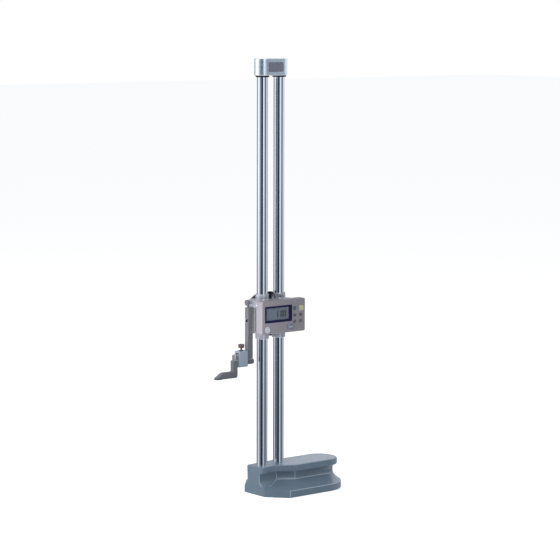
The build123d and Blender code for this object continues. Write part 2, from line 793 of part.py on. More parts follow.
def make_clamp_knob():
    """The T-shaped knob between the columns."""
    stem_z = slider_top_z + stop_gap
    head_z = stem_z + clamp_knob_stem_height
    knob = rod_z(0, 0, stem_z, head_z, clamp_knob_stem)
    head = rod_z(0, 0, head_z, head_z + clamp_knob_height, clamp_knob_dia)
    head = fillet(head.edges().filter_by(GeomType.CIRCLE), clamp_knob_edge)
    knob += head
    return knob - rod_z(0, 0, stem_z, head_z + clamp_knob_height / 2, clamp_spindle_dia)


def make_clamp_spindle():
    """The spindle with the cone that drives the clamp shoe against the sub column."""
    cone_z = slider_top_z - clamp_spindle_reach
    top = slider_top_z + stop_gap + clamp_knob_stem_height + clamp_knob_height / 2
    spindle = rod_z(0, 0, cone_z, top, clamp_spindle_dia)
    cone = Cone(clamp_cone_tip / 2, clamp_spindle_dia / 2, clamp_cone_height, align=BOTTOM)
    return spindle + Pos(0, 0, cone_z - clamp_cone_height) * cone


def make_clamp_shoe():
    """The brass shoe between the spindle and the sub column."""
    start = clamp_spindle_dia / 2 + plug_gap
    end = sub_x - column_r - plug_gap
    return rod_x(start, end, 0, slider_top_z - clamp_drop, clamp_shoe_dia)


def make_lock_plug():
    """The brass plug that the lock screw presses on the main column."""
    end = main_x - column_r - plug_gap
    return rod_x(end - lock_plug_length, end, 0, slider_top_z - lock_drop, lock_screw_dia)


def make_lock_screw():
    """The fluted thumbscrew in the slider's left face."""
    z = slider_top_z - lock_drop
    tip = main_x - column_r - 2 * plug_gap - lock_plug_length
    head_x = left_x - lock_stem_length
    head = rod_x(head_x - lock_head_thickness, head_x, 0, z, lock_head_dia)
    reach = lock_head_dia / 2 + lock_flute_shift
    for number in range(lock_flutes):
        angle = 2 * pi * number / lock_flutes
        head -= rod_x(head_x - lock_head_thickness, head_x, reach * cos(angle), z + reach * sin(angle),
                      lock_flute_dia)
    return head + rod_x(head_x, tip, 0, z, lock_screw_dia)


def make_lower_stop():
    """The buffer under the slider, between the bosses."""
    pad = rod_z(0, 0, slider_bottom_z - stop_height, slider_bottom_z, stop_dia)
    pad = fillet(pad.edges().filter_by(GeomType.CIRCLE).sort_by(Axis.Z)[0], stop_edge)
    return pad + rod_z(0, 0, slider_bottom_z, slider_bottom_z + stop_stud_length, stop_stud_dia)


def encoder_space():
    """The pocket for the reading head, open to the sub column."""
    z0 = slider_bottom_z + (slider_height - encoder_height) / 2
    half = encoder_width / 2 + sliding_gap
    return block(sub_x - half, sub_x + half, column_r - 1, slider_back, z0, z0 + encoder_height)


def make_encoder_head():
    """The reading head that faces the scale, flush with the slider's back."""
    z0 = slider_bottom_z + (slider_height - encoder_height) / 2
    half = encoder_width / 2
    return block(sub_x - half, sub_x + half, column_r + encoder_gap, slider_back, z0,
                 z0 + encoder_height)


# ---------------------------------------------------------------- display unit
def case_point(x, z_from_top):
    """A place on the panel, measured from the case's left and top edges."""
    return (left_x + x, slider_top_z - z_from_top)


def key_places():
    """Name, centre, width and height of each key."""
    first, second = key_x
    top, middle, bottom = [slider_top_z - row for row in (key_top_row, key_middle_row, key_bottom_row)]
    small = (key_small_width, key_small_height)
    return [("key_power", (first, top), (key_small_width, key_power_height)),
            ("key_mode", (first, middle), small),
            ("key_hold", (first, bottom), small),
            ("key_zero", (second + key_wide_shift, top), (key_wide, key_wide)),
            ("key_preset", (second, middle), small),
            ("key_data", (second, bottom), small)]


def battery_centre():
    """Centre of the battery cap."""
    return (case_right - battery_cap_x, slider_bottom_z + battery_cap_z)


def data_centre():
    """Centre of the data cap."""
    return (left_x + data_cap_x, slider_bottom_z + data_cap_z)


def bezel_centre():
    """Centre of the window frame."""
    return case_point(bezel_left + bezel_length / 2, bezel_drop + bezel_height / 2)


def glass_centre():
    """Centre of the window."""
    left = bezel_left + glass_left
    return case_point(left + glass_length / 2, bezel_drop + glass_drop + glass_height / 2)


def case_posts(y0, y1, dia):
    """Round posts, or holes, in the case's four corners."""
    shape = None
    for x in (left_x + post_inset, case_right - post_inset):
        for z in (slider_bottom_z + post_inset, slider_top_z - post_inset):
            post = rod_y(x, y0, y1, z, dia)
            shape = post if shape is None else shape + post
    return shape


def case_outline(y0, y1, inset, corner):
    """The case's outline as a plate."""
    x = (left_x + case_right) / 2
    z = (slider_bottom_z + slider_top_z) / 2
    return panel_plate(x, z, case_length - 2 * inset, slider_height - 2 * inset, corner, y0, y1)


def battery_sleeve_dia():
    """Outside of the sleeve round the battery and its cap."""
    return battery_cap_dia + 2 * panel_gap + 2 * battery_sleeve_wall


def make_display_case():
    """The front shell of the display unit."""
    case = case_outline(case_front, cover_front, 0, case_corner)
    case = fillet(case.faces().sort_by(Axis.Y)[0].edges(), case_edge)
    case -= case_outline(panel_back, cover_front, case_wall, case_corner / 2)
    case += case_posts(panel_back - case_wall / 2, cover_front, post_dia)
    case -= case_posts(cover_front - case_screw_reach, cover_front, case_screw_dia)
    battery_x, battery_z = battery_centre()
    case += rod_y(battery_x, panel_back - case_wall / 2, board_front, battery_z, battery_sleeve_dia())
    data_x, data_z = data_centre()
    data_sleeve = data_cap_dia + 2 * panel_gap + 2 * battery_sleeve_wall
    case += rod_y(data_x, panel_back - case_wall / 2, board_front, data_z, data_sleeve)
    case = case & case_outline(case_front, cover_front, 0, case_corner)
    case -= rod_y(battery_x, case_front, board_front, battery_z, battery_cap_dia + 2 * panel_gap)
    case -= rod_y(data_x, case_front, board_front, data_z, data_cap_dia + 2 * panel_gap)
    bezel_x, bezel_z = bezel_centre()
    recess_floor = case_front - bezel_proud + bezel_thickness
    case -= panel_plate(bezel_x, bezel_z, bezel_length, bezel_height, bezel_corner, case_front, recess_floor)
    glass_x, glass_z = glass_centre()
    case -= panel_plate(glass_x, glass_z, glass_length, glass_height, glass_corner, case_front, panel_back)
    for _, (x, z), (width, height) in key_places():
        case -= panel_plate(x, z, width + 2 * panel_gap, height + 2 * panel_gap, key_corner + panel_gap,
                            case_front, panel_back)
    return case


def make_display_back():
    """The rear cover of the display unit, face to face with the slider."""
    cover = case_outline(cover_front, -slider_front, 0, case_corner)
    cover -= display_fixings(display_screw_dia, display_screw_reach)
    cover -= case_posts(cover_front, -slider_front, case_screw_dia)
    sunk = -slider_front - case_screw_head_height
    return cover - case_posts(sunk, -slider_front, case_screw_head)


def case_screws():
    """Four small screws from the rear cover into the case's posts."""
    sunk = -slider_front - case_screw_head_height
    screws = case_posts(sunk, -slider_front, case_screw_head)
    return screws + case_posts(cover_front - case_screw_reach, sunk, case_screw_dia)


def display_fixings(dia, reach):
    """Shanks, or holes, of the screws that hold the display unit on the slider."""
    low = slider_bottom_z + 2 * display_screw_head_height + display_screw_dia
    high = slider_top_z - 2 * display_screw_head_height - display_screw_dia
    side_x = pocket_x + display_screw_inset
    places = [(side_x, low), (side_x, high), (0, low)]
    shape = None
    for x, z in places:
        shank = rod_y(x, cover_front, -slider_front + reach, z, dia)
        shape = shank if shape is None else shape + shank
    return shape


def display_screws():
    """Three pan-head screws from inside the case into the slider."""
    heads = None
    for shank in display_fixings(display_screw_dia, display_screw_reach).solids():
        centre = shank.center()
        head = rod_y(centre.X, cover_front - display_screw_head_height, cover_front, centre.Z,
                     display_screw_head)
        head += shank
        heads = head if heads is None else heads + head
    return heads


def make_lcd_bezel():
    """The dark window frame, set into the panel."""
    x, z = bezel_centre()
    glass_x, glass_z = glass_centre()
    y0 = case_front - bezel_proud
    y1 = y0 + bezel_thickness
    frame = panel_plate(x, z, bezel_length, bezel_height, bezel_corner, y0, y1)
    return frame - panel_plate(glass_x, glass_z, glass_length, glass_height, glass_corner, y0, y1)


def make_lcd_window():
    """The clear window in the frame."""
    x, z = glass_centre()
    y0 = case_front + glass_sink
    return panel_plate(x, z, glass_length, glass_height, glass_corner, y0, y0 + glass_thickness)


def make_lcd_panel():
    """The liquid crystal module from the window back to the board."""
    x, z = glass_centre()
    y0 = case_front + glass_sink + glass_thickness
    cell = panel_plate(x, z, glass_length - 2 * sliding_gap, glass_height - 2 * sliding_gap,
                       glass_corner, y0, panel_back + sliding_gap)
    width = glass_length + 2 * lcd_margin
    height = glass_height + 2 * lcd_margin
    return cell + panel_plate(x, z, width, height, bezel_corner, panel_back + sliding_gap, board_front)


def make_circuit_board():
    """The board, with round notches for the case's posts and standoffs to the rear cover."""
    inset = case_wall + board_margin
    board = case_outline(board_front, board_back, inset, bezel_corner)
    board -= case_posts(board_front, board_back, post_dia + 4 * free_gap)
    for x, z in ((left_x + standoff_left, slider_top_z - standoff_inset),
                 (case_right - standoff_right, slider_bottom_z + standoff_inset)):
        board += rod_y(x, board_back, cover_front, z, post_dia)
    return board


def make_key_mat():
    """The rubber mat under the keys, with one dome for each."""
    y0 = board_front - mat_thickness
    x0 = key_x[0] - key_small_width
    x1 = key_x[1] + key_wide
    z1 = slider_top_z - key_top_row + key_small_height
    z0 = slider_top_z - key_bottom_row - key_small_height
    mat = block(x0, x1, y0, board_front, z0, z1)
    dome_top = panel_back + sliding_gap + key_flange_thickness + key_travel + sliding_gap
    for _, (x, z), _ in key_places():
        mat += rod_y(x, dome_top, y0 + mat_thickness / 2, z, mat_dome_dia)
    battery_x, battery_z = battery_centre()
    return mat - rod_y(battery_x, y0, board_front, battery_z, battery_sleeve_dia() + 2 * free_gap)


def make_key(centre, size):
    """One key: a cap through the panel and a flange behind it."""
    x, z = centre
    width, height = size
    front = case_front - key_proud
    flange_front = panel_back + sliding_gap
    flange_back = flange_front + key_flange_thickness
    cap = panel_plate(x, z, width, height, key_corner, front, flange_back)
    cap = fillet(cap.faces().sort_by(Axis.Y)[0].edges(), key_proud / 2)
    return cap + panel_plate(x, z, width + 2 * key_flange, height + 2 * key_flange, key_corner,
                             flange_front, flange_back)


def make_battery():
    """The button cell between its cap and the board."""
    x, z = battery_centre()
    return rod_y(x, board_front - battery_height, board_front, z, battery_dia)


def make_battery_cap():
    """The round cap over the battery, with a coin slot."""
    x, z = battery_centre()
    front = case_front - battery_cap_proud
    cap = rod_y(x, front, panel_back, z, battery_cap_dia)
    cap = fillet(cap.edges().filter_by(GeomType.CIRCLE).sort_by(Axis.Y)[0], battery_cap_edge)
    return cap - coin_slot(x, front, z)


def coin_slot(x, front, z):
    """The level slot in a cap's face."""
    half_length = coin_slot_length / 2
    half_width = coin_slot_width / 2
    return block(x - half_length, x + half_length, front, front + coin_slot_depth, z - half_width,
                 z + half_width)


def make_data_cap():
    """The round cap over the data socket."""
    x, z = data_centre()
    front = case_front - data_cap_proud
    cap = rod_y(x, front, front + cap_thickness, z, data_cap_dia)
    cap = fillet(cap.edges().filter_by(GeomType.CIRCLE).sort_by(Axis.Y)[0], data_cap_edge)
    return cap - coin_slot(x, front, z)


def make_data_socket():
    """The round socket on the board, with its ring of pins."""
    x, z = data_centre()
    cap_back = case_front - data_cap_proud + cap_thickness
    mouth = cap_back + stop_gap
    socket = rod_y(x, mouth, board_front, z, socket_dia)
    socket -= rod_y(x, mouth, board_front - socket_floor, z, socket_dia - 2 * socket_wall)
    reach = socket_pin_circle / 2
    for number in range(socket_pins):
        angle = 2 * pi * number / socket_pins
        socket += rod_y(x + reach * cos(angle), mouth + socket_pin_sink, board_front - socket_floor / 2,
                        z + reach * sin(angle), socket_pin_dia)
    return socket


# ---------------------------------------------------------------- jaw, clamp and scriber
def make_jaw():
    """The L-shaped jaw, with a flange seated in the slider's pocket."""
    half = jaw_width / 2
    upright = block(jaw_left, left_x, -half, half, jaw_foot_bottom_z, arm_z)
    upright = fillet(upright.edges().filter_by(Axis.Y).group_by(Axis.Z)[-1].sort_by(Axis.X)[0], jaw_corner)
    foot = block(jaw_left - jaw_foot_length, left_x, -half, half, jaw_foot_bottom_z, foot_top_z)
    flange = block(left_x, pocket_x, -jaw_flange_half, jaw_flange_half, arm_z - jaw_flange_height, arm_z)
    jaw = upright + foot + flange
    jaw -= jaw_screw_shank()
    jaw -= rod_x(jaw_left, jaw_screw_seat, 0, jaw_screw_z, jaw_screw_head + 2 * free_gap)
    return jaw - jaw_dowels()


def jaw_screw_shank():
    """Shank, or hole, of the screw that holds the jaw."""
    return rod_x(jaw_screw_seat, pocket_x + jaw_screw_reach, 0, jaw_screw_z, jaw_screw_dia)


def make_jaw_screw():
    """The socket screw sunk into the jaw's left face."""
    head_x = jaw_left + jaw_screw_sink
    screw = rod_x(head_x, jaw_screw_seat, 0, jaw_screw_z, jaw_screw_head)
    screw += jaw_screw_shank()
    socket = Pos(head_x, 0, jaw_screw_z) * Rot(0, 90, 0)
    return screw - socket * extrude(RegularPolygon(jaw_screw_dia / 2, 6), hex_key_depth)


def jaw_dowels():
    """Two dowels that locate the jaw's flange on the slider."""
    y = jaw_flange_half - dowel_dia
    z0 = arm_z - jaw_flange_height + dowel_inset_z
    z1 = arm_z - dowel_inset_z
    start = left_x + dowel_setback
    lower = rod_x(start, pocket_x + dowel_reach, y, z0, dowel_dia)
    return lower + rod_x(start, pocket_x + dowel_reach, -y, z1, dowel_dia)


def make_scriber():
    """The stepped scriber: shank under the jaw's foot, leg, and foot with a chisel point."""
    shank_top = jaw_foot_bottom_z
    leg_left = jaw_left - scriber_leg_left
    leg_right = leg_left + scriber_leg
    heel_x = jaw_left + scriber_heel
    tip_x = leg_left - scriber_reach
    points = [(heel_x, shank_top), (leg_left, shank_top), (leg_left, face_z + scriber_foot_height),
              (leg_left - scriber_foot_flat, face_z + scriber_foot_height),
              (tip_x, face_z + carbide_thickness + scriber_tip_height / 2),
              (tip_x, face_z + carbide_thickness), (tip_x + carbide_length, face_z + carbide_thickness),
              (tip_x + carbide_length, face_z), (leg_right, face_z), (leg_right, shank_bottom_z),
              (heel_x, shank_bottom_z)]
    face = make_face(Plane.XZ * Polyline(*points, points[0]))
    body = extrude(face, scriber_width / 2, both=True)
    body = fillet(body.edges().filter_by(Axis.Y).group_by(Axis.X)[-1], scriber_shank_radius)
    corner = body.edges().filter_by(Axis.Y).sort_by_distance((leg_right, 0, face_z))[0]
    body = fillet(corner, scriber_heel_radius)
    bend = body.edges().filter_by(Axis.Y).sort_by_distance((leg_left, 0, face_z + scriber_foot_height))[0]
    return fillet(bend, scriber_bend_radius)


def make_carbide_tip():
    """The carbide blade brazed under the scriber's point."""
    tip_x = jaw_left - scriber_leg_left - scriber_reach
    half = scriber_width / 2
    return block(tip_x, tip_x + carbide_length, -half, half, face_z, face_z + carbide_thickness)


def make_clamp_box():
    """The rectangular band that presses the scriber against the jaw's foot."""
    inner_half = jaw_width / 2 + sliding_gap
    outer_half = inner_half + clamp_wall_side
    box = block(clamp_left, clamp_right, -outer_half, outer_half, clamp_bottom_z, clamp_top_z)
    box = fillet(box.edges().filter_by(Axis.X), clamp_corner)
    box -= block(clamp_left - 1, clamp_right + 1, -inner_half, inner_half, shank_bottom_z - sliding_gap,
                 clamp_inner_top)
    return box - rod_z(clamp_x, 0, clamp_inner_top, clamp_top_z + 1, thumb_dia + 2 * running_gap)


def make_clamp_pad():
    """The pad between the thumbscrew and the jaw's foot."""
    half = jaw_width / 2
    pad = block(clamp_left + pad_inset, clamp_right - pad_inset, -half, half, foot_top_z,
                foot_top_z + pad_thickness)
    return fillet(pad.edges().filter_by(Axis.Z), pad_corner)


def make_clamp_washer():
    """The washer between the clamp box and the thumbscrew's collar."""
    return tube_z(clamp_x, 0, clamp_top_z, clamp_top_z + clamp_washer_thickness, clamp_washer_dia,
                  thumb_dia + 2 * free_gap)


def make_clamp_thumbscrew():
    """The fluted thumbscrew with a thin neck and a collar."""
    collar_z = clamp_top_z + clamp_washer_thickness + sliding_gap
    neck_z = collar_z + thumb_collar_height
    head_z = neck_z + thumb_neck_height
    head = rod_z(clamp_x, 0, head_z, head_z + thumb_head_height, thumb_head_dia)
    head = fillet(head.edges().filter_by(GeomType.CIRCLE), thumb_head_edge)
    reach = thumb_head_dia / 2 + thumb_flute_shift
    for number in range(thumb_flutes):
        angle = 2 * pi * number / thumb_flutes
        head -= rod_z(clamp_x + reach * cos(angle), reach * sin(angle), head_z, head_z + thumb_head_height,
                      thumb_flute_dia)
    screw = head + rod_z(clamp_x, 0, neck_z, head_z, thumb_neck_dia)
    screw += rod_z(clamp_x, 0, collar_z, neck_z, thumb_collar_dia)
    tip_z = foot_top_z + pad_thickness + sliding_gap / 2
    return screw + rod_z(clamp_x, 0, tip_z, collar_z, thumb_dia)


# ---------------------------------------------------------------- write every piece
def make_all():
    """Build the pieces and write one file for each."""
    save("base_casting", make_base_casting())
    save("main_column", make_main_column())
    save("sub_column", make_sub_column())
    save("rack_strip", make_rack_strip())
    save("rack_screws", rack_fixings(rack_screw_dia, rack_screw_head))
    save("scale_strip", block(sub_x - scale_width / 2, sub_x + scale_width / 2, scale_floor,
                              scale_floor + scale_thickness, rack_bottom_z, rack_top_z))
    save("column_bolts", both(column_bolt))
    save("column_washers", both(column_washer))
    save("top_cap", make_top_cap())
    save("cap_screws", both(cap_screw))
    save("bump_rings", both(lambda x: tube_z(x, 0, ring_bottom_z, cap_bottom_z, ring_dia, column_dia)))

    save("slider_block", make_slider_block())
    save("column_bushes", column_bushes())
    save("wiper_rings", wiper_rings())
    save("gib_screw", make_gib_screw())
    save("front_shaft_bush", make_front_shaft_bush())
    save("rear_shaft_bush", make_rear_shaft_bush())
    save("encoder_head", make_encoder_head())
    save("clamp_shoe", make_clamp_shoe())
    save("clamp_knob", make_clamp_knob())
    save("clamp_spindle", make_clamp_spindle())
    save("lock_plug", make_lock_plug())
    save("lock_screw", make_lock_screw())
    save("lower_stop", make_lower_stop())

    save("pinion", make_pinion())
    save("pinion_shaft", make_pinion_shaft())
    save("handwheel", make_handwheel())
    save("wheel_screw", make_wheel_screw())
    save("crank_pin", make_crank_pin())
    save("finger_knob", make_finger_knob())

    save("display_case", make_display_case())
    save("display_back", make_display_back())
    save("case_screws", case_screws())
    save("display_screws", display_screws())
    save("lcd_bezel", make_lcd_bezel())
    save("lcd_window", make_lcd_window())
    save("lcd_panel", make_lcd_panel())
    save("circuit_board", make_circuit_board())
    save("key_mat", make_key_mat())
    for name, centre, size in key_places():
        save(name, make_key(centre, size))
    save("battery", make_battery())
    save("battery_cap", make_battery_cap())
    save("data_cap", make_data_cap())
    save("data_socket", make_data_socket())

    save("jaw", make_jaw())
    save("jaw_screw", make_jaw_screw())
    save("jaw_dowels", jaw_dowels())
    save("clamp_box", make_clamp_box())
    save("clamp_pad", make_clamp_pad())
    save("clamp_washer", make_clamp_washer())
    save("clamp_thumbscrew", make_clamp_thumbscrew())
    save("scriber", make_scriber())
    save("carbide_tip", make_carbide_tip())


make_all()
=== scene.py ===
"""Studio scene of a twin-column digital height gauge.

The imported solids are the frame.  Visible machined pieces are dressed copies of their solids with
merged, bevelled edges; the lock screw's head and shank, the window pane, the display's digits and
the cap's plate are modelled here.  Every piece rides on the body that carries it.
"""

import json
import logging
import math
from dataclasses import dataclass, field
from enum import Enum

import bmesh
import bpy
from mathutils import Matrix, Vector

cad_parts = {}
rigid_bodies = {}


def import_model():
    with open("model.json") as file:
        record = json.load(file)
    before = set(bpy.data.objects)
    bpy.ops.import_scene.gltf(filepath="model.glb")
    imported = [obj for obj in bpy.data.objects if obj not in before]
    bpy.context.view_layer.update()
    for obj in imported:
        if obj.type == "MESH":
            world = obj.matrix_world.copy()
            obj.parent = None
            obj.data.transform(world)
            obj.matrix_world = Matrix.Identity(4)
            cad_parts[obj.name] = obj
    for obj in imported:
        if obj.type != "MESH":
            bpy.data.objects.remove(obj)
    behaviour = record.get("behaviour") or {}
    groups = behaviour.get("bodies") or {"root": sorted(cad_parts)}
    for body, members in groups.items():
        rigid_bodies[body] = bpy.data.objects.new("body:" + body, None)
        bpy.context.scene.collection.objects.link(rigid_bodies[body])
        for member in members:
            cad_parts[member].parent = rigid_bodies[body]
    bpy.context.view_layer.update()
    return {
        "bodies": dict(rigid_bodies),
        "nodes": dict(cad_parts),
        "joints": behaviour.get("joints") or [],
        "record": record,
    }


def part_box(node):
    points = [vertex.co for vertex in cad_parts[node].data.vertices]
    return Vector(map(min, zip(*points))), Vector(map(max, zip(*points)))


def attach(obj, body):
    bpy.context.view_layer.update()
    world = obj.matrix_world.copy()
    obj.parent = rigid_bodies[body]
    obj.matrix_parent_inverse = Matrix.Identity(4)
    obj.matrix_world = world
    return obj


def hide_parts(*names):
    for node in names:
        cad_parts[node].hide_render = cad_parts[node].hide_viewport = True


logging.basicConfig(level=logging.INFO, format="%(name)s: %(message)s")
LOG = logging.getLogger("height_gauge")

MM = 0.001
NOISE_RANGE = (0.3, 0.7)  # most of a noise texture's values lie in here
BROAD_SCALE, BROAD_DETAIL = 35, 3  # slow colour change, in cells per metre, and its octaves
FINE_DETAIL = 4  # octaves of the fine pattern
COAT_ROUGHNESS = 0.12
FLUTE_STEPS = 8  # faces across each flute of a knob
SEGMENTS = {"0": "abcdef", "1": "bc", "2": "abdeg", "9": "abcdfg"}  # lit strokes of each digit
Colour = tuple[float, float, float]
Point = tuple[float, float, float]


# ---------------------------------------------------------------- materials
class Pattern(Enum):
    """How a finish varies over its surface."""

    PLAIN = "plain"
    CAST_ENAMEL = "cast enamel"
    BRUSHED = "brushed"
    BLASTED = "blasted"
    MOULDED = "moulded"


class Graph:
    """A short way to write the nodes of a new material or of the world."""

    def __init__(self, owner: bpy.types.Material | bpy.types.World) -> None:
        """Start with the owner's default nodes."""
        owner.use_nodes = True
        self.owner = owner
        self.nodes = owner.node_tree.nodes
        self.links = owner.node_tree.links

    @classmethod
    def of_material(cls, name: str) -> "Graph":
        """The nodes of a new material with a principled surface."""
        return cls(bpy.data.materials.new(name))

    @property
    def surface(self) -> bpy.types.Node:
        """The material's principled surface."""
        return self.nodes["Principled BSDF"]

    def add(self, kind: str, **values: object) -> bpy.types.Node:
        """Add a node and set its properties.

        Args:
            kind: Blender's node type.
            values: properties of the node.

        Returns:
            The new node.
        """
        node = self.nodes.new(kind)
        for key, value in values.items():
            setattr(node, key, value)
        return node

    def join(self, source: bpy.types.NodeSocket, target: bpy.types.NodeSocket) -> None:
        """Link two sockets."""
        self.links.new(source, target)

    def coordinates(self, scale: Point) -> bpy.types.NodeSocket:
        """Object coordinates, stretched by a scale for each axis.

        Args:
            scale: how much finer the pattern is along X, Y and Z.

        Returns:
            The mapped vector.
        """
        place = self.add("ShaderNodeTexCoord")
        mapping = self.add("ShaderNodeMapping")
        mapping.inputs["Scale"].default_value = scale
        self.join(place.outputs["Object"], mapping.inputs["Vector"])
        return mapping.outputs["Vector"]

    def seen_directly(self) -> bpy.types.NodeSocket:
        """1 for rays from the camera, from a mirror or through glass, and 0 for others.

        Returns:
            The value.
        """
        path = self.add("ShaderNodeLightPath")
        seen = path.outputs["Is Camera Ray"]
        for ray in ("Is Glossy Ray", "Is Transmission Ray"):
            larger = self.add("ShaderNodeMath", operation="MAXIMUM")
            self.join(seen, larger.inputs[0])
            self.join(path.outputs[ray], larger.inputs[1])
            seen = larger.outputs[0]
        return seen

    def mix(self, share: bpy.types.NodeSocket, first: bpy.types.NodeSocket,
            second: bpy.types.NodeSocket) -> bpy.types.NodeSocket:
        """Mix two shaders.

        Args:
            share: 0 for the first shader, 1 for the second.
            first: first shader.
            second: second shader.

        Returns:
            The mixed shader.
        """
        node = self.add("ShaderNodeMixShader")
        self.join(share, node.inputs["Fac"])
        self.join(first, node.inputs[1])
        self.join(second, node.inputs[2])
        return node.outputs[0]

    def noise(self, vector: bpy.types.NodeSocket, scale: float,
              detail: float) -> bpy.types.NodeSocket:
        """A noise value between 0 and 1.

        Args:
            vector: where the pattern is read.
            scale: cells per metre.
            detail: octaves.

        Returns:
            The noise factor.
        """
        node = self.add("ShaderNodeTexNoise")
        node.inputs["Scale"].default_value = scale
        node.inputs["Detail"].default_value = detail
        self.join(vector, node.inputs["Vector"])
        return node.outputs["Fac"]

    def spread(self, value: bpy.types.NodeSocket, low: float,
               high: float) -> bpy.types.NodeSocket:
        """Map noise to a range.

        Args:
            value: noise factor, mostly within NOISE_RANGE.
            low: result at the noise's low end.
            high: result at its high end.

        Returns:
            The mapped value.
        """
        node = self.add("ShaderNodeMapRange")
        node.inputs["From Min"].default_value, node.inputs["From Max"].default_value = NOISE_RANGE
        node.inputs["To Min"].default_value = low
        node.inputs["To Max"].default_value = high
        self.join(value, node.inputs["Value"])
        return node.outputs["Result"]

    def tint(self, value: bpy.types.NodeSocket, low: Colour,
             high: Colour) -> bpy.types.NodeSocket:
        """Blend two colours by a value.

        Args:
            value: 0 for the first colour, 1 for the second.
            low: first colour.
            high: second colour.

        Returns:
            The blended colour.
        """
        ramp = self.add("ShaderNodeValToRGB")
        ramp.color_ramp.elements[0].color = (*low, 1)
        ramp.color_ramp.elements[1].color = (*high, 1)
        self.join(value, ramp.inputs["Fac"])
        return ramp.outputs["Color"]

    def bump(self, height: bpy.types.NodeSocket, strength: float, depth: float) -> None:
        """Give the surface a relief.

        Args:
            height: the relief's value.
            strength: how strongly it turns the normal.
            depth: its depth in metres.
        """
        node = self.add("ShaderNodeBump")
        node.inputs["Strength"].default_value = strength
        node.inputs["Distance"].default_value = depth
        self.join(height, node.inputs["Height"])
        self.join(node.outputs["Normal"], self.surface.inputs["Normal"])


@dataclass(frozen=True)
class Finish:
    """One surface finish: its colour, gloss and pattern."""

    name: str
    colour: Colour
    roughness: float = 0.5
    metallic: float = 0.0
    pattern: Pattern = Pattern.PLAIN
    vary: float = 0.06
    coat: float = 0.0
    grain: Point = (1.0, 1.0, 1.0)
    bump_strength: float = 0.15
    specular: float = 0.5

    def shade(self, factor: float) -> Colour:
        """The colour made lighter or darker by a factor."""
        return tuple(min(1.0, channel * factor) for channel in self.colour)

    def material(self) -> bpy.types.Material:
        """Make the finish's material, or return it if it was made before.

        Returns:
            The material.
        """
        made = bpy.data.materials.get(self.name)
        if made:
            return made
        graph = Graph.of_material(self.name)
        surface = graph.surface
        surface.inputs["Metallic"].default_value = self.metallic
        surface.inputs["Specular IOR Level"].default_value = self.specular
        if self.coat:
            surface.inputs["Coat Weight"].default_value = self.coat
            surface.inputs["Coat Roughness"].default_value = COAT_ROUGHNESS
        broad = graph.noise(graph.coordinates((1, 1, 1)), BROAD_SCALE, BROAD_DETAIL)
        fine = graph.noise(graph.coordinates(self.grain), self.fine_scale(), FINE_DETAIL)
        colour = graph.tint(broad, self.shade(1 - self.vary), self.shade(1 + self.vary))
        graph.join(colour, surface.inputs["Base Color"])
        swing = self.roughness * self.roughness_swing()
        rough = graph.spread(fine, self.roughness - swing, self.roughness + swing)
        graph.join(rough, surface.inputs["Roughness"])
        if self.pattern is not Pattern.PLAIN:
            graph.bump(fine, self.bump_strength, self.relief())
        return graph.owner

    def fine_scale(self) -> float:
        """Cells per metre of the fine pattern."""
        scales = {Pattern.PLAIN: 300, Pattern.CAST_ENAMEL: 260, Pattern.BRUSHED: 120,
                  Pattern.BLASTED: 2600, Pattern.MOULDED: 1500}
        return scales[self.pattern]

    def roughness_swing(self) -> float:
        """Share by which the gloss varies."""
        return 0.25 if self.pattern is Pattern.BRUSHED else 0.12

    def relief(self) -> float:
        """Depth of the fine pattern in metres."""
        reliefs = {Pattern.CAST_ENAMEL: 0.0005, Pattern.BRUSHED: 0.00003,
                   Pattern.BLASTED: 0.00008, Pattern.MOULDED: 0.00006}
        return reliefs[self.pattern]


@dataclass(frozen=True)
class GlassFinish:
    """Clear window plastic."""

    name: str = "clear_window"
    tint: Colour = (0.86, 0.9, 0.92)
    roughness: float = 0.06
    opacity: float = 0.03

    def material(self) -> bpy.types.Material:
        """Make the clear material, or return it if it was made before.

        Returns:
            The material.
        """
        made = bpy.data.materials.get(self.name)
        if made:
            return made
        graph = Graph.of_material(self.name)
        graph.surface.inputs["Base Color"].default_value = (*self.tint, 1)
        graph.surface.inputs["Roughness"].default_value = self.roughness
        graph.surface.inputs["Alpha"].default_value = self.opacity
        return graph.owner


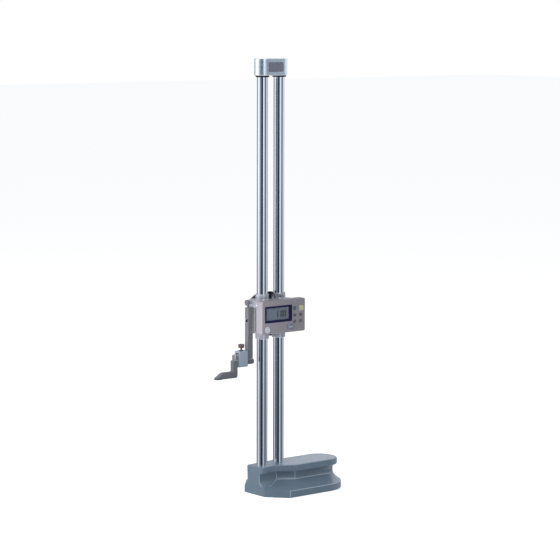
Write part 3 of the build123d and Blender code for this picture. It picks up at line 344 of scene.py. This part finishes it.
@dataclass(frozen=True)
class Finishes:
    """Every finish of the gauge."""

    enamel: Finish = Finish(
        "blue_grey_enamel", (0.133, 0.187, 0.245), roughness=0.30, pattern=Pattern.CAST_ENAMEL,
        vary=0.05, coat=0.5, bump_strength=0.08)
    # Lighter enamel for the softened edges: a painted highlight along them.
    enamel_highlight: Finish = Finish(
        "enamel_painted_highlight", (0.36, 0.44, 0.52), roughness=0.28, pattern=Pattern.CAST_ENAMEL,
        vary=0.12, coat=0.5, bump_strength=0.05)
    column: Finish = Finish(
        "ground_column", (0.76, 0.78, 0.81), roughness=0.08, metallic=1.0, vary=0.01)
    alloy: Finish = Finish(
        "brushed_alloy", (0.44, 0.45, 0.50), roughness=0.32, metallic=0.6, pattern=Pattern.BRUSHED,
        vary=0.03, grain=(4, 4, 30), bump_strength=0.03)
    # Near-white metal for softened edges: a painted highlight along them.
    alloy_highlight: Finish = Finish(
        "alloy_painted_highlight", (0.90, 0.91, 0.94), roughness=0.22, metallic=0.9, vary=0.03)
    cap: Finish = Finish("satin_cap", (0.90, 0.97, 1.0), roughness=0.34, metallic=1.0, vary=0.02)
    plate: Finish = Finish(
        "cap_plate", (0.27, 0.265, 0.315), roughness=0.36, metallic=0.6, vary=0.03)
    plate_frame: Finish = Finish(
        "plate_frame", (0.16, 0.17, 0.20), roughness=0.4, metallic=0.4, vary=0.05)
    panel: Finish = Finish(
        "display_panel", (0.262, 0.243, 0.272), roughness=0.38, metallic=0.25,
        pattern=Pattern.BLASTED, vary=0.03, bump_strength=0.08)
    # Near-white edge colour for the case and jaw: a painted highlight along their softened edges.
    panel_highlight: Finish = Finish(
        "panel_painted_highlight", (0.80, 0.82, 0.88), roughness=0.3, metallic=0.6, vary=0.05)
    jaw: Finish = Finish(
        "satin_jaw", (0.25, 0.243, 0.262), roughness=0.32, metallic=0.75, pattern=Pattern.BRUSHED,
        vary=0.05, grain=(3, 3, 40), bump_strength=0.05)
    steel: Finish = Finish(
        "ground_steel", (0.42, 0.43, 0.45), roughness=0.28, metallic=1.0, pattern=Pattern.BRUSHED,
        vary=0.05, grain=(30, 3, 3), bump_strength=0.06)
    light_steel: Finish = Finish(
        "bluish_steel", (0.27, 0.325, 0.39), roughness=0.36, metallic=0.5, pattern=Pattern.BRUSHED,
        vary=0.04, grain=(3, 3, 30), bump_strength=0.05)
    dark_steel: Finish = Finish(
        "oiled_steel", (0.125, 0.130, 0.142), roughness=0.4, metallic=0.5, pattern=Pattern.BRUSHED,
        vary=0.10, grain=(20, 4, 4), bump_strength=0.06)
    brown_steel: Finish = Finish(
        "browned_steel", (0.075, 0.055, 0.060), roughness=0.42, metallic=0.4,
        pattern=Pattern.BLASTED, vary=0.12)
    knob_steel: Finish = Finish(
        "grey_knob", (0.22, 0.195, 0.225), roughness=0.35, metallic=0.7, pattern=Pattern.BRUSHED,
        vary=0.08)
    carbide: Finish = Finish(
        "ground_carbide", (0.05, 0.05, 0.055), roughness=0.3, metallic=0.8,
        pattern=Pattern.BRUSHED, vary=0.08, grain=(40, 4, 4))
    brass: Finish = Finish(
        "turned_brass", (0.62, 0.45, 0.18), roughness=0.3, metallic=1.0, pattern=Pattern.BRUSHED,
        grain=(3, 3, 40))
    black: Finish = Finish(
        "moulded_black", (0.010, 0.012, 0.018), roughness=0.42, pattern=Pattern.MOULDED, vary=0.15,
        specular=0.3)
    wheel: Finish = Finish(
        "moulded_wheel", (0.050, 0.032, 0.046), roughness=0.40, pattern=Pattern.MOULDED, vary=0.12,
        specular=0.3)
    rubber: Finish = Finish(
        "black_rubber", (0.014, 0.014, 0.015), roughness=0.7, pattern=Pattern.MOULDED, vary=0.2,
        specular=0.3)
    navy: Finish = Finish(
        "dark_navy_bezel", (0.010, 0.008, 0.046), roughness=0.40, vary=0.08, specular=0.12)
    screen: Finish = Finish("display_screen", (0.070, 0.096, 0.138), roughness=0.40, vary=0.02)
    segment: Finish = Finish(
        "display_segment", (0.003, 0.003, 0.006), roughness=0.6, vary=0.05, specular=0.1)
    board: Finish = Finish("board_laminate", (0.02, 0.10, 0.05), roughness=0.4, vary=0.1)
    key_green: Finish = Finish(
        "green_key", (0.048, 0.105, 0.105), roughness=0.45, pattern=Pattern.MOULDED, vary=0.08)
    key_yellow: Finish = Finish(
        "yellow_key", (0.42, 0.42, 0.24), roughness=0.45, pattern=Pattern.MOULDED)
    key_dark: Finish = Finish(
        "dark_key", (0.095, 0.078, 0.076), roughness=0.45, pattern=Pattern.MOULDED, vary=0.1)
    key_grey: Finish = Finish(
        "grey_key", (0.100, 0.092, 0.110), roughness=0.45, pattern=Pattern.MOULDED, vary=0.1)
    bright: Finish = Finish(
        "turned_cap", (0.58, 0.56, 0.62), roughness=0.30, metallic=1.0, vary=0.04)
    # Near-white colour on the caps' softened rims: a painted highlight.
    rim_painted_highlight: Finish = Finish(
        "rim_painted_highlight", (0.86, 0.86, 0.90), roughness=0.22, metallic=0.8, vary=0.03)
    light_cap: Finish = Finish(
        "light_turned_cap", (0.80, 0.80, 0.84), roughness=0.34, metallic=0.7, vary=0.03)
    cell: Finish = Finish(
        "cell_steel", (0.6, 0.6, 0.58), roughness=0.2, metallic=1.0, pattern=Pattern.BRUSHED,
        vary=0.04)
    window: GlassFinish = GlassFinish()


FINISH = Finishes()


# ---------------------------------------------------------------- workshop
def add_object(name: str, data: bpy.types.ID) -> bpy.types.Object:
    """Make an object and link it to the scene.

    Args:
        name: the object's name.
        data: its mesh, lamp or camera.

    Returns:
        The new object.
    """
    thing = bpy.data.objects.new(name, data)
    bpy.context.scene.collection.objects.link(thing)
    return thing


def mesh_of(name: str, shape: bmesh.types.BMesh) -> bpy.types.Mesh:
    """Turn a bmesh into a mesh, and free it."""
    mesh = bpy.data.meshes.new(name)
    shape.to_mesh(mesh)
    shape.free()
    return mesh


class Bench:
    """Turns meshes into pieces that ride on the frame's bodies."""

    weld = 5e-6  # vertices closer than this are one, in metres
    flat_angle = 0.4  # faces that meet within this many degrees become one
    downward = -0.9  # an underside's normal has a Z below this
    bevel_steps = 2

    def __init__(self, frame: dict) -> None:
        """Keep the frame's nodes, and the body and slot of each."""
        self.nodes = frame["nodes"]
        record = frame["record"]
        self.slots = {part["node"]: part["material_slot"] for part in record["subparts"]}
        self.body_of = {node: body for body, members in record["behaviour"]["bodies"].items()
                        for node in members}

    def dress(self, node: str, finish: Finish | GlassFinish) -> None:
        """Give a solid that stays as it is its finish.

        Args:
            node: the solid's name.
            finish: its new surface.
        """
        mesh = self.nodes[node].data
        mesh.materials.clear()
        mesh.materials.append(finish.material())
        LOG.info("dressed %s in %s", node, finish.name)

    def dress_all(self, finish: Finish, *nodes: str) -> None:
        """Give several solids one finish."""
        for node in nodes:
            self.dress(node, finish)

    def piece(self, name: str, shape: bmesh.types.BMesh, finish: Finish | GlassFinish, body: str,
              slot: str, stands_for: tuple[str, ...] = (),
              smooth_angle: float = 35.0) -> bpy.types.Object:
        """Make an object of a bmesh and let it ride on a body.

        Args:
            name: the piece's name.
            shape: its mesh, in metres and in place.
            finish: its surface.
            body: the body that it rides on.
            slot: the record's material slot; not used.
            stands_for: solids that it replaces.
            smooth_angle: edges sharper than this many degrees stay sharp.

        Returns:
            The new object.
        """
        mesh = mesh_of(name, shape)
        mesh.shade_smooth()
        mesh.set_sharp_from_angle(angle=math.radians(smooth_angle))
        mesh.materials.append(finish.material())
        thing = add_object(name, mesh)
        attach(thing, body)
        if stands_for:
            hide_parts(*stands_for)
        LOG.info("made %s on %s, %d faces", name, body, len(mesh.polygons))
        return thing

    def refine(self, node: str, finish: Finish | GlassFinish, bevel: float = 0.25,
               highlight_finish: Finish | None = None, smooth_angle: float = 32.0,
               room: float = 1.5, most_corners: int = 0) -> bpy.types.Object:
        """Replace a solid by its merged copy with softened edges.

        Args:
            node: the solid's name.
            finish: its surface.
            bevel: edge width in millimetres, 0 for none.
            highlight_finish: surface of the softened edges, where it differs; a lighter one is a
                painted highlight along them.
            smooth_angle: edges sharper than this many degrees are softened.
            room: how many bevels must fit along every edge at both ends of a softened one.
            most_corners: undersides with more corners are cut into triangles, 0 for none.

        Returns:
            The new object.
        """
        shape = bmesh.new()
        shape.from_mesh(self.nodes[node].data)
        bmesh.ops.remove_doubles(shape, verts=shape.verts, dist=self.weld)
        bmesh.ops.dissolve_limit(shape, angle_limit=math.radians(self.flat_angle),
                                 verts=shape.verts, edges=shape.edges)
        if bevel:
            self.mark_edges(shape, bevel * room * MM, math.radians(smooth_angle))
        if most_corners:
            wide = [face for face in shape.faces
                    if len(face.verts) > most_corners and face.normal.z < self.downward]
            bmesh.ops.triangulate(shape, faces=wide)
        thing = self.piece(node + "_finished", shape, finish, self.body_of[node], self.slots[node],
                           (node,), smooth_angle)
        if bevel:
            edge = thing.modifiers.new("soft_edges", "BEVEL")
            edge.width = bevel * MM
            edge.segments = self.bevel_steps
            edge.limit_method = "WEIGHT"
            edge.use_clamp_overlap = False
            flat = thing.modifiers.new("flat_faces", "WEIGHTED_NORMAL")
            flat.keep_sharp = True
            # A lighter finish on the bevel faces paints a highlight along the edges.
            if highlight_finish:
                thing.data.materials.append(highlight_finish.material())
                edge.material = 1
        return thing

    def mark_edges(self, shape: bmesh.types.BMesh, shortest: float, crease: float) -> None:
        """Mark the sharp edges that have room for a soft edge at both ends.

        Args:
            shape: the mesh.
            shortest: no edge at either end may be shorter, in metres.
            crease: edges sharper than this angle are marked.
        """
        soft = shape.edges.layers.float.new("bevel_weight_edge")
        roomy = {vert for vert in shape.verts
                 if min(edge.calc_length() for edge in vert.link_edges) > shortest}
        for edge in shape.edges:
            sharp = edge.is_manifold and edge.calc_face_angle() > crease
            if sharp and roomy.issuperset(edge.verts):
                edge[soft] = 1.0

    def low(self, node: str) -> Vector:
        """Lowest corner of a solid."""
        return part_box(node)[0]

    def centre(self, node: str) -> Vector:
        """Middle of a solid's box."""
        low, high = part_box(node)
        return (low + high) / 2


def lathe(profile: list[tuple[float, float]], steps: int, place: Matrix) -> bmesh.types.BMesh:
    """Spin a profile round its own Z axis and put it in place.

    Args:
        profile: radius and height of each point, from one end of the axis to the other.
        steps: faces round the axis.
        place: where the axis goes.

    Returns:
        The closed shape.
    """
    shape = bmesh.new()
    points = [shape.verts.new((radius, 0, height)) for radius, height in profile]
    edges = [shape.edges.new(pair) for pair in zip(points, points[1:])]
    bmesh.ops.spin(shape, geom=points + edges, cent=(0, 0, 0), axis=(0, 0, 1), dvec=(0, 0, 0),
                   angle=math.tau, steps=steps, use_merge=True, use_duplicate=False)
    bmesh.ops.remove_doubles(shape, verts=shape.verts, dist=1e-7)
    bmesh.ops.recalc_face_normals(shape, faces=shape.faces)
    bmesh.ops.transform(shape, matrix=place, verts=shape.verts)
    return shape


def fluted(radius: float, length: float, flutes: int, depth: float,
           place: Matrix) -> bmesh.types.BMesh:
    """A short knob with round flutes along its rim.

    Args:
        radius: outer radius in metres.
        length: along its own Z axis, from 0.
        flutes: how many.
        depth: of each flute in metres.
        place: where the axis goes.

    Returns:
        The closed shape.
    """
    shape = bmesh.new()
    steps = flutes * FLUTE_STEPS
    rings = []
    for height, inset in ((0, depth), (depth, 0), (length - depth, 0), (length, depth)):
        ring = []
        for step in range(steps):
            angle = math.tau * step / steps
            reach = radius - inset - depth * max(0.0, math.cos(flutes * angle)) ** 2
            ring.append(shape.verts.new((reach * math.cos(angle), reach * math.sin(angle), height)))
        rings.append(ring)
    for lower, upper in zip(rings, rings[1:]):
        for step in range(steps):
            after = (step + 1) % steps
            shape.faces.new((lower[step], lower[after], upper[after], upper[step]))
    shape.faces.new(reversed(rings[0]))
    shape.faces.new(rings[-1])
    bmesh.ops.recalc_face_normals(shape, faces=shape.faces)
    bmesh.ops.transform(shape, matrix=place, verts=shape.verts)
    return shape


def slab(low: Vector, high: Vector) -> bmesh.types.BMesh:
    """A box between two corners.

    Args:
        low: lowest corner.
        high: highest corner.

    Returns:
        The box.
    """
    shape = bmesh.new()
    bmesh.ops.create_cube(shape, size=1.0)
    size = high - low
    bmesh.ops.scale(shape, vec=size, verts=shape.verts)
    bmesh.ops.translate(shape, vec=(low + high) / 2, verts=shape.verts)
    return shape


def round_edges(shape: bmesh.types.BMesh, edges: list[bmesh.types.BMEdge], width: float,
                segments: int) -> None:
    """Round some edges of a shape.

    Args:
        shape: the mesh.
        edges: which edges.
        width: how wide, in metres.
        segments: faces across each rounded edge.
    """
    bmesh.ops.bevel(shape, geom=edges, offset=width, offset_type="OFFSET", affect="EDGES",
                    segments=segments, profile=0.5, material=-1)


# ---------------------------------------------------------------- sub-assemblies
@dataclass
class Stand:
    """Base, columns, cap and what ties them."""

    bench: Bench
    edge_width: float = 0.7
    crease_angle: float = 25.0
    most_corners: int = 8
    plate_length: float = 33.5
    plate_height: float = 17.0
    plate_frame: float = 1.2
    frame_share: float = 0.8
    plate_thickness: float = 0.35
    plate_corner: float = 1.2
    corner_steps: int = 4

    def build(self) -> None:
        """Make every piece of the stand."""
        bench = self.bench
        # The base's softened edges carry the painted-highlight enamel.
        bench.refine("base_casting", FINISH.enamel, self.edge_width, FINISH.enamel_highlight,
                     self.crease_angle, most_corners=self.most_corners)
        for column in ("main_column", "sub_column"):
            bench.refine(column, FINISH.column, 0.0)
        bench.refine("top_cap", FINISH.cap, 0.3, FINISH.alloy_highlight)
        bench.refine("bump_rings", FINISH.rubber, 0.4)
        bench.dress_all(FINISH.steel, "rack_strip", "rack_screws", "scale_strip", "column_bolts",
                        "column_washers", "cap_screws")
        self.blank_plate()

    def blank_plate(self) -> None:
        """A bare plate in a thin dark frame on the cap's front."""
        inset = self.plate_frame
        self.plate("plate_frame", self.plate_length, self.plate_height,
                   self.plate_thickness * self.frame_share, FINISH.plate_frame)
        self.plate("cap_plate", self.plate_length - 2 * inset, self.plate_height - 2 * inset,
                   self.plate_thickness, FINISH.plate)

    def plate(self, name: str, length: float, height: float, thickness: float,
              finish: Finish) -> None:
        """One thin plate with rounded corners.

        Args:
            name: the piece's name.
            length: along X in millimetres.
            height: along Z in millimetres.
            thickness: in front of the cap, in millimetres.
            finish: its surface.
        """
        bench = self.bench
        middle = bench.centre("top_cap")
        front = bench.low("top_cap").y
        half = Vector((length / 2, 0, height / 2)) * MM
        low = Vector((middle.x - half.x, front - thickness * MM, middle.z - half.z))
        high = Vector((middle.x + half.x, front + self.plate_thickness * MM, middle.z + half.z))
        shape = slab(low, high)
        corners = [edge for edge in shape.edges
                   if abs(edge.verts[0].co.y - edge.verts[1].co.y) > self.plate_thickness * MM / 2]
        round_edges(shape, corners, self.plate_corner * MM, self.corner_steps)
        bench.piece(name, shape, finish, "root", "satin_alloy")


@dataclass
class Slider:
    """The slider block, its drive and its locks."""

    bench: Bench
    lock_head: float = 4.5
    lock_shank: float = 4.0
    lock_flutes: int = 16
    flute_depth: float = 0.35
    shank_steps: int = 32

    def build(self) -> None:
        """Make every piece of the slider."""
        bench = self.bench
        bench.refine("slider_block", FINISH.alloy, 0.35, FINISH.alloy_highlight)
        bench.refine("handwheel", FINISH.wheel, 0.3)
        bench.refine("finger_knob", FINISH.black, 0.3)
        bench.refine("clamp_knob", FINISH.black, 0.2)
        self.lock_screw()
        bench.refine("encoder_head", FINISH.black, 0.3)
        bench.dress_all(FINISH.rubber, "lower_stop", "wiper_rings")
        bench.dress_all(FINISH.brass, "column_bushes", "front_shaft_bush", "rear_shaft_bush",
                        "clamp_shoe", "lock_plug")
        bench.dress_all(FINISH.steel, "pinion", "pinion_shaft", "crank_pin", "clamp_spindle")
        bench.dress_all(FINISH.dark_steel, "gib_screw", "wheel_screw")

    def lock_screw(self) -> None:
        """The slider's lock screw: a fluted head and a bright shank."""
        low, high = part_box("lock_screw")
        middle = (low + high) / 2
        head = self.lock_head * MM
        along_x = Matrix.Rotation(math.pi / 2, 4, "Y")
        place = Matrix.Translation((low.x, middle.y, middle.z)) @ along_x
        shape = fluted((high.y - low.y) / 2, head, self.lock_flutes, self.flute_depth * MM, place)
        self.bench.piece("lock_head", shape, FINISH.knob_steel, "lock", "dark_steel",
                         ("lock_screw",))
        radius = self.lock_shank / 2 * MM
        end = high.x - low.x
        shank = lathe([(0, head), (radius, head), (radius, end), (0, end)], self.shank_steps, place)
        self.bench.piece("lock_shank", shank, FINISH.alloy, "lock", "steel")


@dataclass
class DisplayUnit:
    """The case with its window, keys and caps."""

    bench: Bench
    rows: tuple[str, ...] = ("219.00", "219.00")
    row_pitch: float = 6.4
    rows_up: float = 2.6
    digit_height: float = 5.6
    digit_width: float = 3.6
    digit_gap: float = 0.8
    stroke: float = 1.4
    stroke_depth: float = 0.06
    stroke_inset: float = 0.1  # a level stroke starts this far right of an upright one
    level_cut: float = 0.4  # a level stroke ends this share of its width before the digit does
    upright_cut: float = 0.6  # and an upright one this share below half of its height
    point_shift: float = 0.1
    digits_right: float = 4.0
    pane_share: float = 0.6
    pane_edge: float = 0.15
    keys: dict[str, Finish] = field(default_factory=lambda: {
        "key_power": FINISH.key_green, "key_mode": FINISH.key_dark, "key_hold": FINISH.key_grey,
        "key_zero": FINISH.key_yellow, "key_preset": FINISH.key_dark, "key_data": FINISH.key_grey})

    def build(self) -> None:
        """Make every piece of the display unit."""
        bench = self.bench
        bench.refine("display_case", FINISH.panel, 0.25, FINISH.panel_highlight, room=1.0)
        bench.refine("display_back", FINISH.panel, 0.25)
        bench.refine("lcd_bezel", FINISH.navy, 0.2)
        bench.refine("battery_cap", FINISH.bright, 0.35, FINISH.rim_painted_highlight)
        bench.refine("data_cap", FINISH.light_cap, 0.3, FINISH.rim_painted_highlight)
        for key, finish in self.keys.items():
            bench.refine(key, finish, 0.2)
        self.window()
        bench.dress("lcd_panel", FINISH.screen)
        bench.dress("circuit_board", FINISH.board)
        bench.dress("battery", FINISH.cell)
        bench.dress("key_mat", FINISH.rubber)
        bench.dress("data_socket", FINISH.black)
        bench.dress_all(FINISH.dark_steel, "case_screws", "display_screws")
        self.reading()

    def window(self) -> None:
        """A thin clear window in the frame, clear of the digits behind it."""
        low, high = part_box("lcd_window")
        shape = slab(low, Vector((high.x, low.y + (high.y - low.y) * self.pane_share, high.z)))
        round_edges(shape, list(shape.edges), self.pane_edge * MM, 2)
        self.bench.piece("window_pane", shape, FINISH.window, "slider", "window", ("lcd_window",))

    def reading(self) -> None:
        """The number that the display shows, as flat seven-segment strokes."""
        low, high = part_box("lcd_window")
        front = self.bench.low("lcd_panel").y
        shape = bmesh.new()
        for row, digits in enumerate(self.rows):
            pen_x = high.x - self.digits_right * MM
            rise = self.rows_up - self.digit_height / 2 - row * self.row_pitch
            base_z = (low.z + high.z) / 2 + rise * MM
            for sign in reversed(digits):
                if sign == ".":
                    point_x = pen_x + self.digit_gap * MM * self.point_shift
                    self.bar(shape, point_x, front, base_z, self.stroke, self.stroke)
                    continue
                pen_x -= self.digit_width * MM
                self.glyph(shape, SEGMENTS[sign], pen_x, front, base_z)
                pen_x -= self.digit_gap * MM
        self.bench.piece("display_reading", shape, FINISH.segment, "slider", "lcd")

    def glyph(self, shape: bmesh.types.BMesh, strokes: str, x: float, y: float,
              z: float) -> None:
        """Draw one digit.

        Args:
            shape: mesh to draw into.
            strokes: letters of the lit segments.
            x: left edge.
            y: the screen's face.
            z: foot of the digit.
        """
        stroke, inset = self.stroke, self.stroke_inset
        tall = self.digit_height / 2 - stroke * self.upright_cut
        wide = self.digit_width - stroke * self.level_cut
        right = self.digit_width - stroke
        middle = (self.digit_height - stroke) / 2
        top = self.digit_height - stroke
        lift = stroke / 2
        bars = {"a": (inset, top, wide, stroke), "g": (inset, middle, wide, stroke),
                "d": (inset, 0, wide, stroke),
                "f": (0, middle + lift, stroke, tall), "e": (0, lift, stroke, tall),
                "b": (right, middle + lift, stroke, tall), "c": (right, lift, stroke, tall)}
        for letter in strokes:
            left, foot, width, height = bars[letter]
            self.bar(shape, x + left * MM, y, z + foot * MM, width, height)

    def bar(self, shape: bmesh.types.BMesh, x: float, y: float, z: float, width: float,
            height: float) -> None:
        """Draw one stroke, a thin block on the screen's face.

        Args:
            shape: mesh to draw into.
            x: left edge in metres.
            y: the screen's face in metres.
            z: lower edge in metres.
            width: in millimetres.
            height: in millimetres.
        """
        thin = self.stroke_depth * MM
        made = bmesh.ops.create_cube(shape, size=1.0)["verts"]
        bmesh.ops.scale(shape, vec=(width * MM, thin, height * MM), verts=made)
        middle = (x + width * MM / 2, y - thin / 2, z + height * MM / 2)
        bmesh.ops.translate(shape, vec=middle, verts=made)


@dataclass
class JawGroup:
    """The jaw, its clamp and the scriber."""

    bench: Bench

    def build(self) -> None:
        """Make every piece of the jaw group."""
        bench = self.bench
        bench.refine("jaw", FINISH.jaw, 0.3, FINISH.panel_highlight)
        bench.refine("jaw_screw", FINISH.black, 0.1)
        bench.refine("clamp_box", FINISH.light_steel, 0.3, FINISH.alloy_highlight)
        bench.refine("clamp_thumbscrew", FINISH.brown_steel, 0.15)
        bench.refine("clamp_washer", FINISH.brown_steel, 0.15)
        bench.refine("scriber", FINISH.dark_steel, 0.25)
        bench.refine("carbide_tip", FINISH.carbide, 0.0)
        bench.dress("clamp_pad", FINISH.brown_steel)
        bench.dress("jaw_dowels", FINISH.steel)


# ---------------------------------------------------------------- studio
@dataclass(frozen=True)
class Lamp:
    """A soft square lamp aimed at the object's middle axis.

    The angle is in degrees from the camera to the right, lengths are in metres, power in watts.
    """

    name: str
    angle: float
    reach: float
    height: float
    size: float
    power: float
    aim_height: float = 0.4
    mirrored: bool = True


@dataclass
class Studio:
    """Floor, lights, cards and camera."""

    azimuth: float = 39.0
    distance: float = 3970.4
    height: float = 865.7
    aside: float = 32.0
    tilt: float = 6.83
    roll: float = 0.13
    focal_pixels: float = 2227.0
    frame_pixels: float = 560.0
    sensor: float = 36.0
    view_limit: float = 100.0
    main_column_x: float = -19.0
    floor_size: float = 40.0
    floor_drop: float = 0.0002
    floor_colour: Colour = (0.9, 0.9, 0.9)
    floor_roughness: float = 0.9
    floor_glow: float = 0.45
    world_colour: Colour = (0.96, 0.98, 1.0)
    world_diffuse: float = 0.58
    lights: tuple[Lamp, ...] = (
        Lamp("key_lamp", angle=-80, reach=2.6, height=1.6, size=1.8, power=38),
        Lamp("top_lamp", angle=20, reach=0.9, height=2.8, size=1.6, power=5),
        Lamp("front_lamp", angle=25, reach=2.0, height=2.2, size=1.2, power=11, aim_height=0.1),
        Lamp("near_lamp", angle=-30, reach=0.20, height=0.31, size=0.06, power=0.40,
             aim_height=0.325, mirrored=False))
    card_reach: float = 2.2
    card_foot: float = -1.0
    card_top: float = 3.2
    card_tones: tuple[tuple[float, float, float], ...] = (
        (-180, -95, 0.48), (-95, -62, 1.35), (-62, -42, 0.60), (-42, -18, 0.26), (-18, 16, 0.04),
        (16, 34, 1.15), (34, 52, 0.72), (52, 85, 0.22), (85, 180, 0.85))
    card_blues: tuple[tuple[float, float], ...] = ((0.3, 0.07), (0.1, 0.3), (0.0, 0.55))
    card_turn: float = 6.0
    card_dim: float = 0.60
    dim_below: float = -0.25
    full_above: float = 0.42

    def build(self) -> None:
        """Set up everything round the object."""
        self.floor()
        self.world()
        for lamp in self.lights:
            self.lamp(lamp)
        self.cards()
        self.camera()
        bpy.context.scene.view_settings.view_transform = "Standard"

    @property
    def right(self) -> Vector:
        """Level direction to the camera's right."""
        a = math.radians(self.azimuth)
        return Vector((math.cos(a), -math.sin(a), 0))

    @property
    def ahead(self) -> Vector:
        """Level direction from the camera to the object."""
        a = math.radians(self.azimuth)
        return Vector((math.sin(a), math.cos(a), 0))

    def toward(self, angle: float) -> Vector:
        """Level direction from the object, turned by an angle from the camera to the right.

        Args:
            angle: degrees, 0 at the camera.

        Returns:
            The unit direction.
        """
        turn = math.radians(angle)
        return -self.ahead * math.cos(turn) + self.right * math.sin(turn)

    def floor(self) -> None:
        """A plain pale floor that keeps the object's shadow."""
        shape = bmesh.new()
        bmesh.ops.create_grid(shape, x_segments=1, y_segments=1, size=self.floor_size / 2)
        bmesh.ops.translate(shape, vec=(0, 0, -self.floor_drop), verts=shape.verts)
        mesh = mesh_of("floor", shape)
        graph = Graph.of_material("pale_floor")
        graph.surface.inputs["Base Color"].default_value = (*self.floor_colour, 1)
        graph.surface.inputs["Roughness"].default_value = self.floor_roughness
        graph.surface.inputs["Specular IOR Level"].default_value = 0.0
        plain = graph.surface.outputs["BSDF"]
        glow = graph.add("ShaderNodeEmission")
        glow.inputs["Strength"].default_value = self.floor_glow
        glowing = graph.add("ShaderNodeAddShader")
        graph.join(plain, glowing.inputs[0])
        graph.join(glow.outputs["Emission"], glowing.inputs[1])
        mixed = graph.mix(graph.seen_directly(), plain, glowing.outputs[0])
        graph.join(mixed, graph.nodes["Material Output"].inputs["Surface"])
        mesh.materials.append(graph.owner)
        floor = add_object("floor", mesh)
        floor.visible_glossy = False

    def world(self) -> None:
        """White to the camera and in reflections, softer as a light."""
        world = bpy.data.worlds.new("studio")
        bpy.context.scene.world = world
        graph = Graph(world)
        light = graph.nodes["Background"]
        light.inputs["Color"].default_value = (*self.world_colour, 1)
        light.inputs["Strength"].default_value = self.world_diffuse
        white = graph.add("ShaderNodeBackground")
        white.inputs["Color"].default_value = (1, 1, 1, 1)
        white.inputs["Strength"].default_value = 1.0
        mixed = graph.mix(graph.seen_directly(), light.outputs[0], white.outputs[0])
        graph.join(mixed, graph.nodes["World Output"].inputs["Surface"])

    def lamp(self, lamp: Lamp) -> None:
        """Put up a lamp.

        Args:
            lamp: its place, size and power.
        """
        data = bpy.data.lights.new(lamp.name, "AREA")
        data.size = lamp.size
        data.energy = lamp.power
        thing = add_object(lamp.name, data)
        place = self.toward(lamp.angle) * lamp.reach + Vector((0, 0, lamp.height))
        thing.location = place
        aim = Vector((0, 0, lamp.aim_height)) - place
        thing.rotation_mode = "QUATERNION"
        thing.rotation_quaternion = aim.to_track_quat("-Z", "Y")
        thing.visible_glossy = lamp.mirrored

    def card(self, name: str, start: float, end: float, tone: float) -> None:
        """An upright studio card that shows in polished metal only.

        Args:
            name: the card's name.
            start: its left edge, degrees from the camera to the right.
            end: its right edge.
            tone: how light it is.
        """
        shape = bmesh.new()
        steps = max(2, round((end - start) / self.card_turn))
        foot = Vector((0, 0, self.card_foot))
        feet = []
        for step in range(steps + 1):
            direction = self.toward(start + (end - start) * step / steps)
            feet.append(shape.verts.new(direction * self.card_reach + foot))
        edges = [shape.edges.new(pair) for pair in zip(feet, feet[1:])]
        grown = bmesh.ops.extrude_edge_only(shape, edges=edges)["geom"]
        tops = [item for item in grown if isinstance(item, bmesh.types.BMVert)]
        bmesh.ops.translate(shape, vec=(0, 0, self.card_top - self.card_foot), verts=tops)
        mesh = mesh_of(name, shape)
        graph = Graph.of_material(name + "_cloth")
        glow = graph.add("ShaderNodeEmission")
        blue = next(blue for least, blue in self.card_blues if tone > least)
        glow.inputs["Color"].default_value = (1 - blue, 1 - blue / 4, 1 + blue, 1)
        split = graph.add("ShaderNodeSeparateXYZ")
        graph.join(graph.coordinates((1, 1, 1)), split.inputs["Vector"])
        fall = graph.add("ShaderNodeMapRange")
        for socket, value in (("From Min", self.dim_below), ("From Max", self.full_above),
                              ("To Min", tone * self.card_dim), ("To Max", tone)):
            fall.inputs[socket].default_value = value
        graph.join(split.outputs["Z"], fall.inputs["Value"])
        graph.join(fall.outputs["Result"], glow.inputs["Strength"])
        graph.join(glow.outputs["Emission"], graph.nodes["Material Output"].inputs["Surface"])
        mesh.materials.append(graph.owner)
        thing = add_object(name, mesh)
        thing.visible_camera = False
        thing.visible_diffuse = False
        thing.visible_shadow = False

    def cards(self) -> None:
        """A ring of light and dark cards, which the polished columns mirror as stripes."""
        for number, (start, end, tone) in enumerate(self.card_tones):
            self.card(f"card_{number}", start, end, tone)

    def camera(self) -> None:
        """The camera at the object's usual viewing angle."""
        tilt = math.radians(self.tilt)
        start = Vector((self.main_column_x, 0, self.height))
        place = start + self.right * self.aside - self.ahead * self.distance
        look = self.ahead * math.cos(tilt) - Vector((0, 0, math.sin(tilt)))
        data = bpy.data.cameras.new("camera")
        data.sensor_width = self.sensor
        data.lens = self.focal_pixels / self.frame_pixels * self.sensor
        data.clip_end = self.view_limit
        camera = add_object("camera", data)
        camera.location = place * MM
        camera.rotation_mode = "QUATERNION"
        turn = look.to_track_quat("-Z", "Y")
        roll = Matrix.Rotation(math.radians(self.roll), 3, "Z").to_quaternion()
        camera.rotation_quaternion = turn @ roll
        bpy.context.scene.camera = camera


def main() -> None:
    """Build the scene round the frame."""
    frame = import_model()
    Studio().build()
    bench = Bench(frame)
    for group in (Stand(bench), Slider(bench), DisplayUnit(bench), JawGroup(bench)):
        LOG.info("building %s", type(group).__name__)
        group.build()


if __name__ == "__main__":
    main()
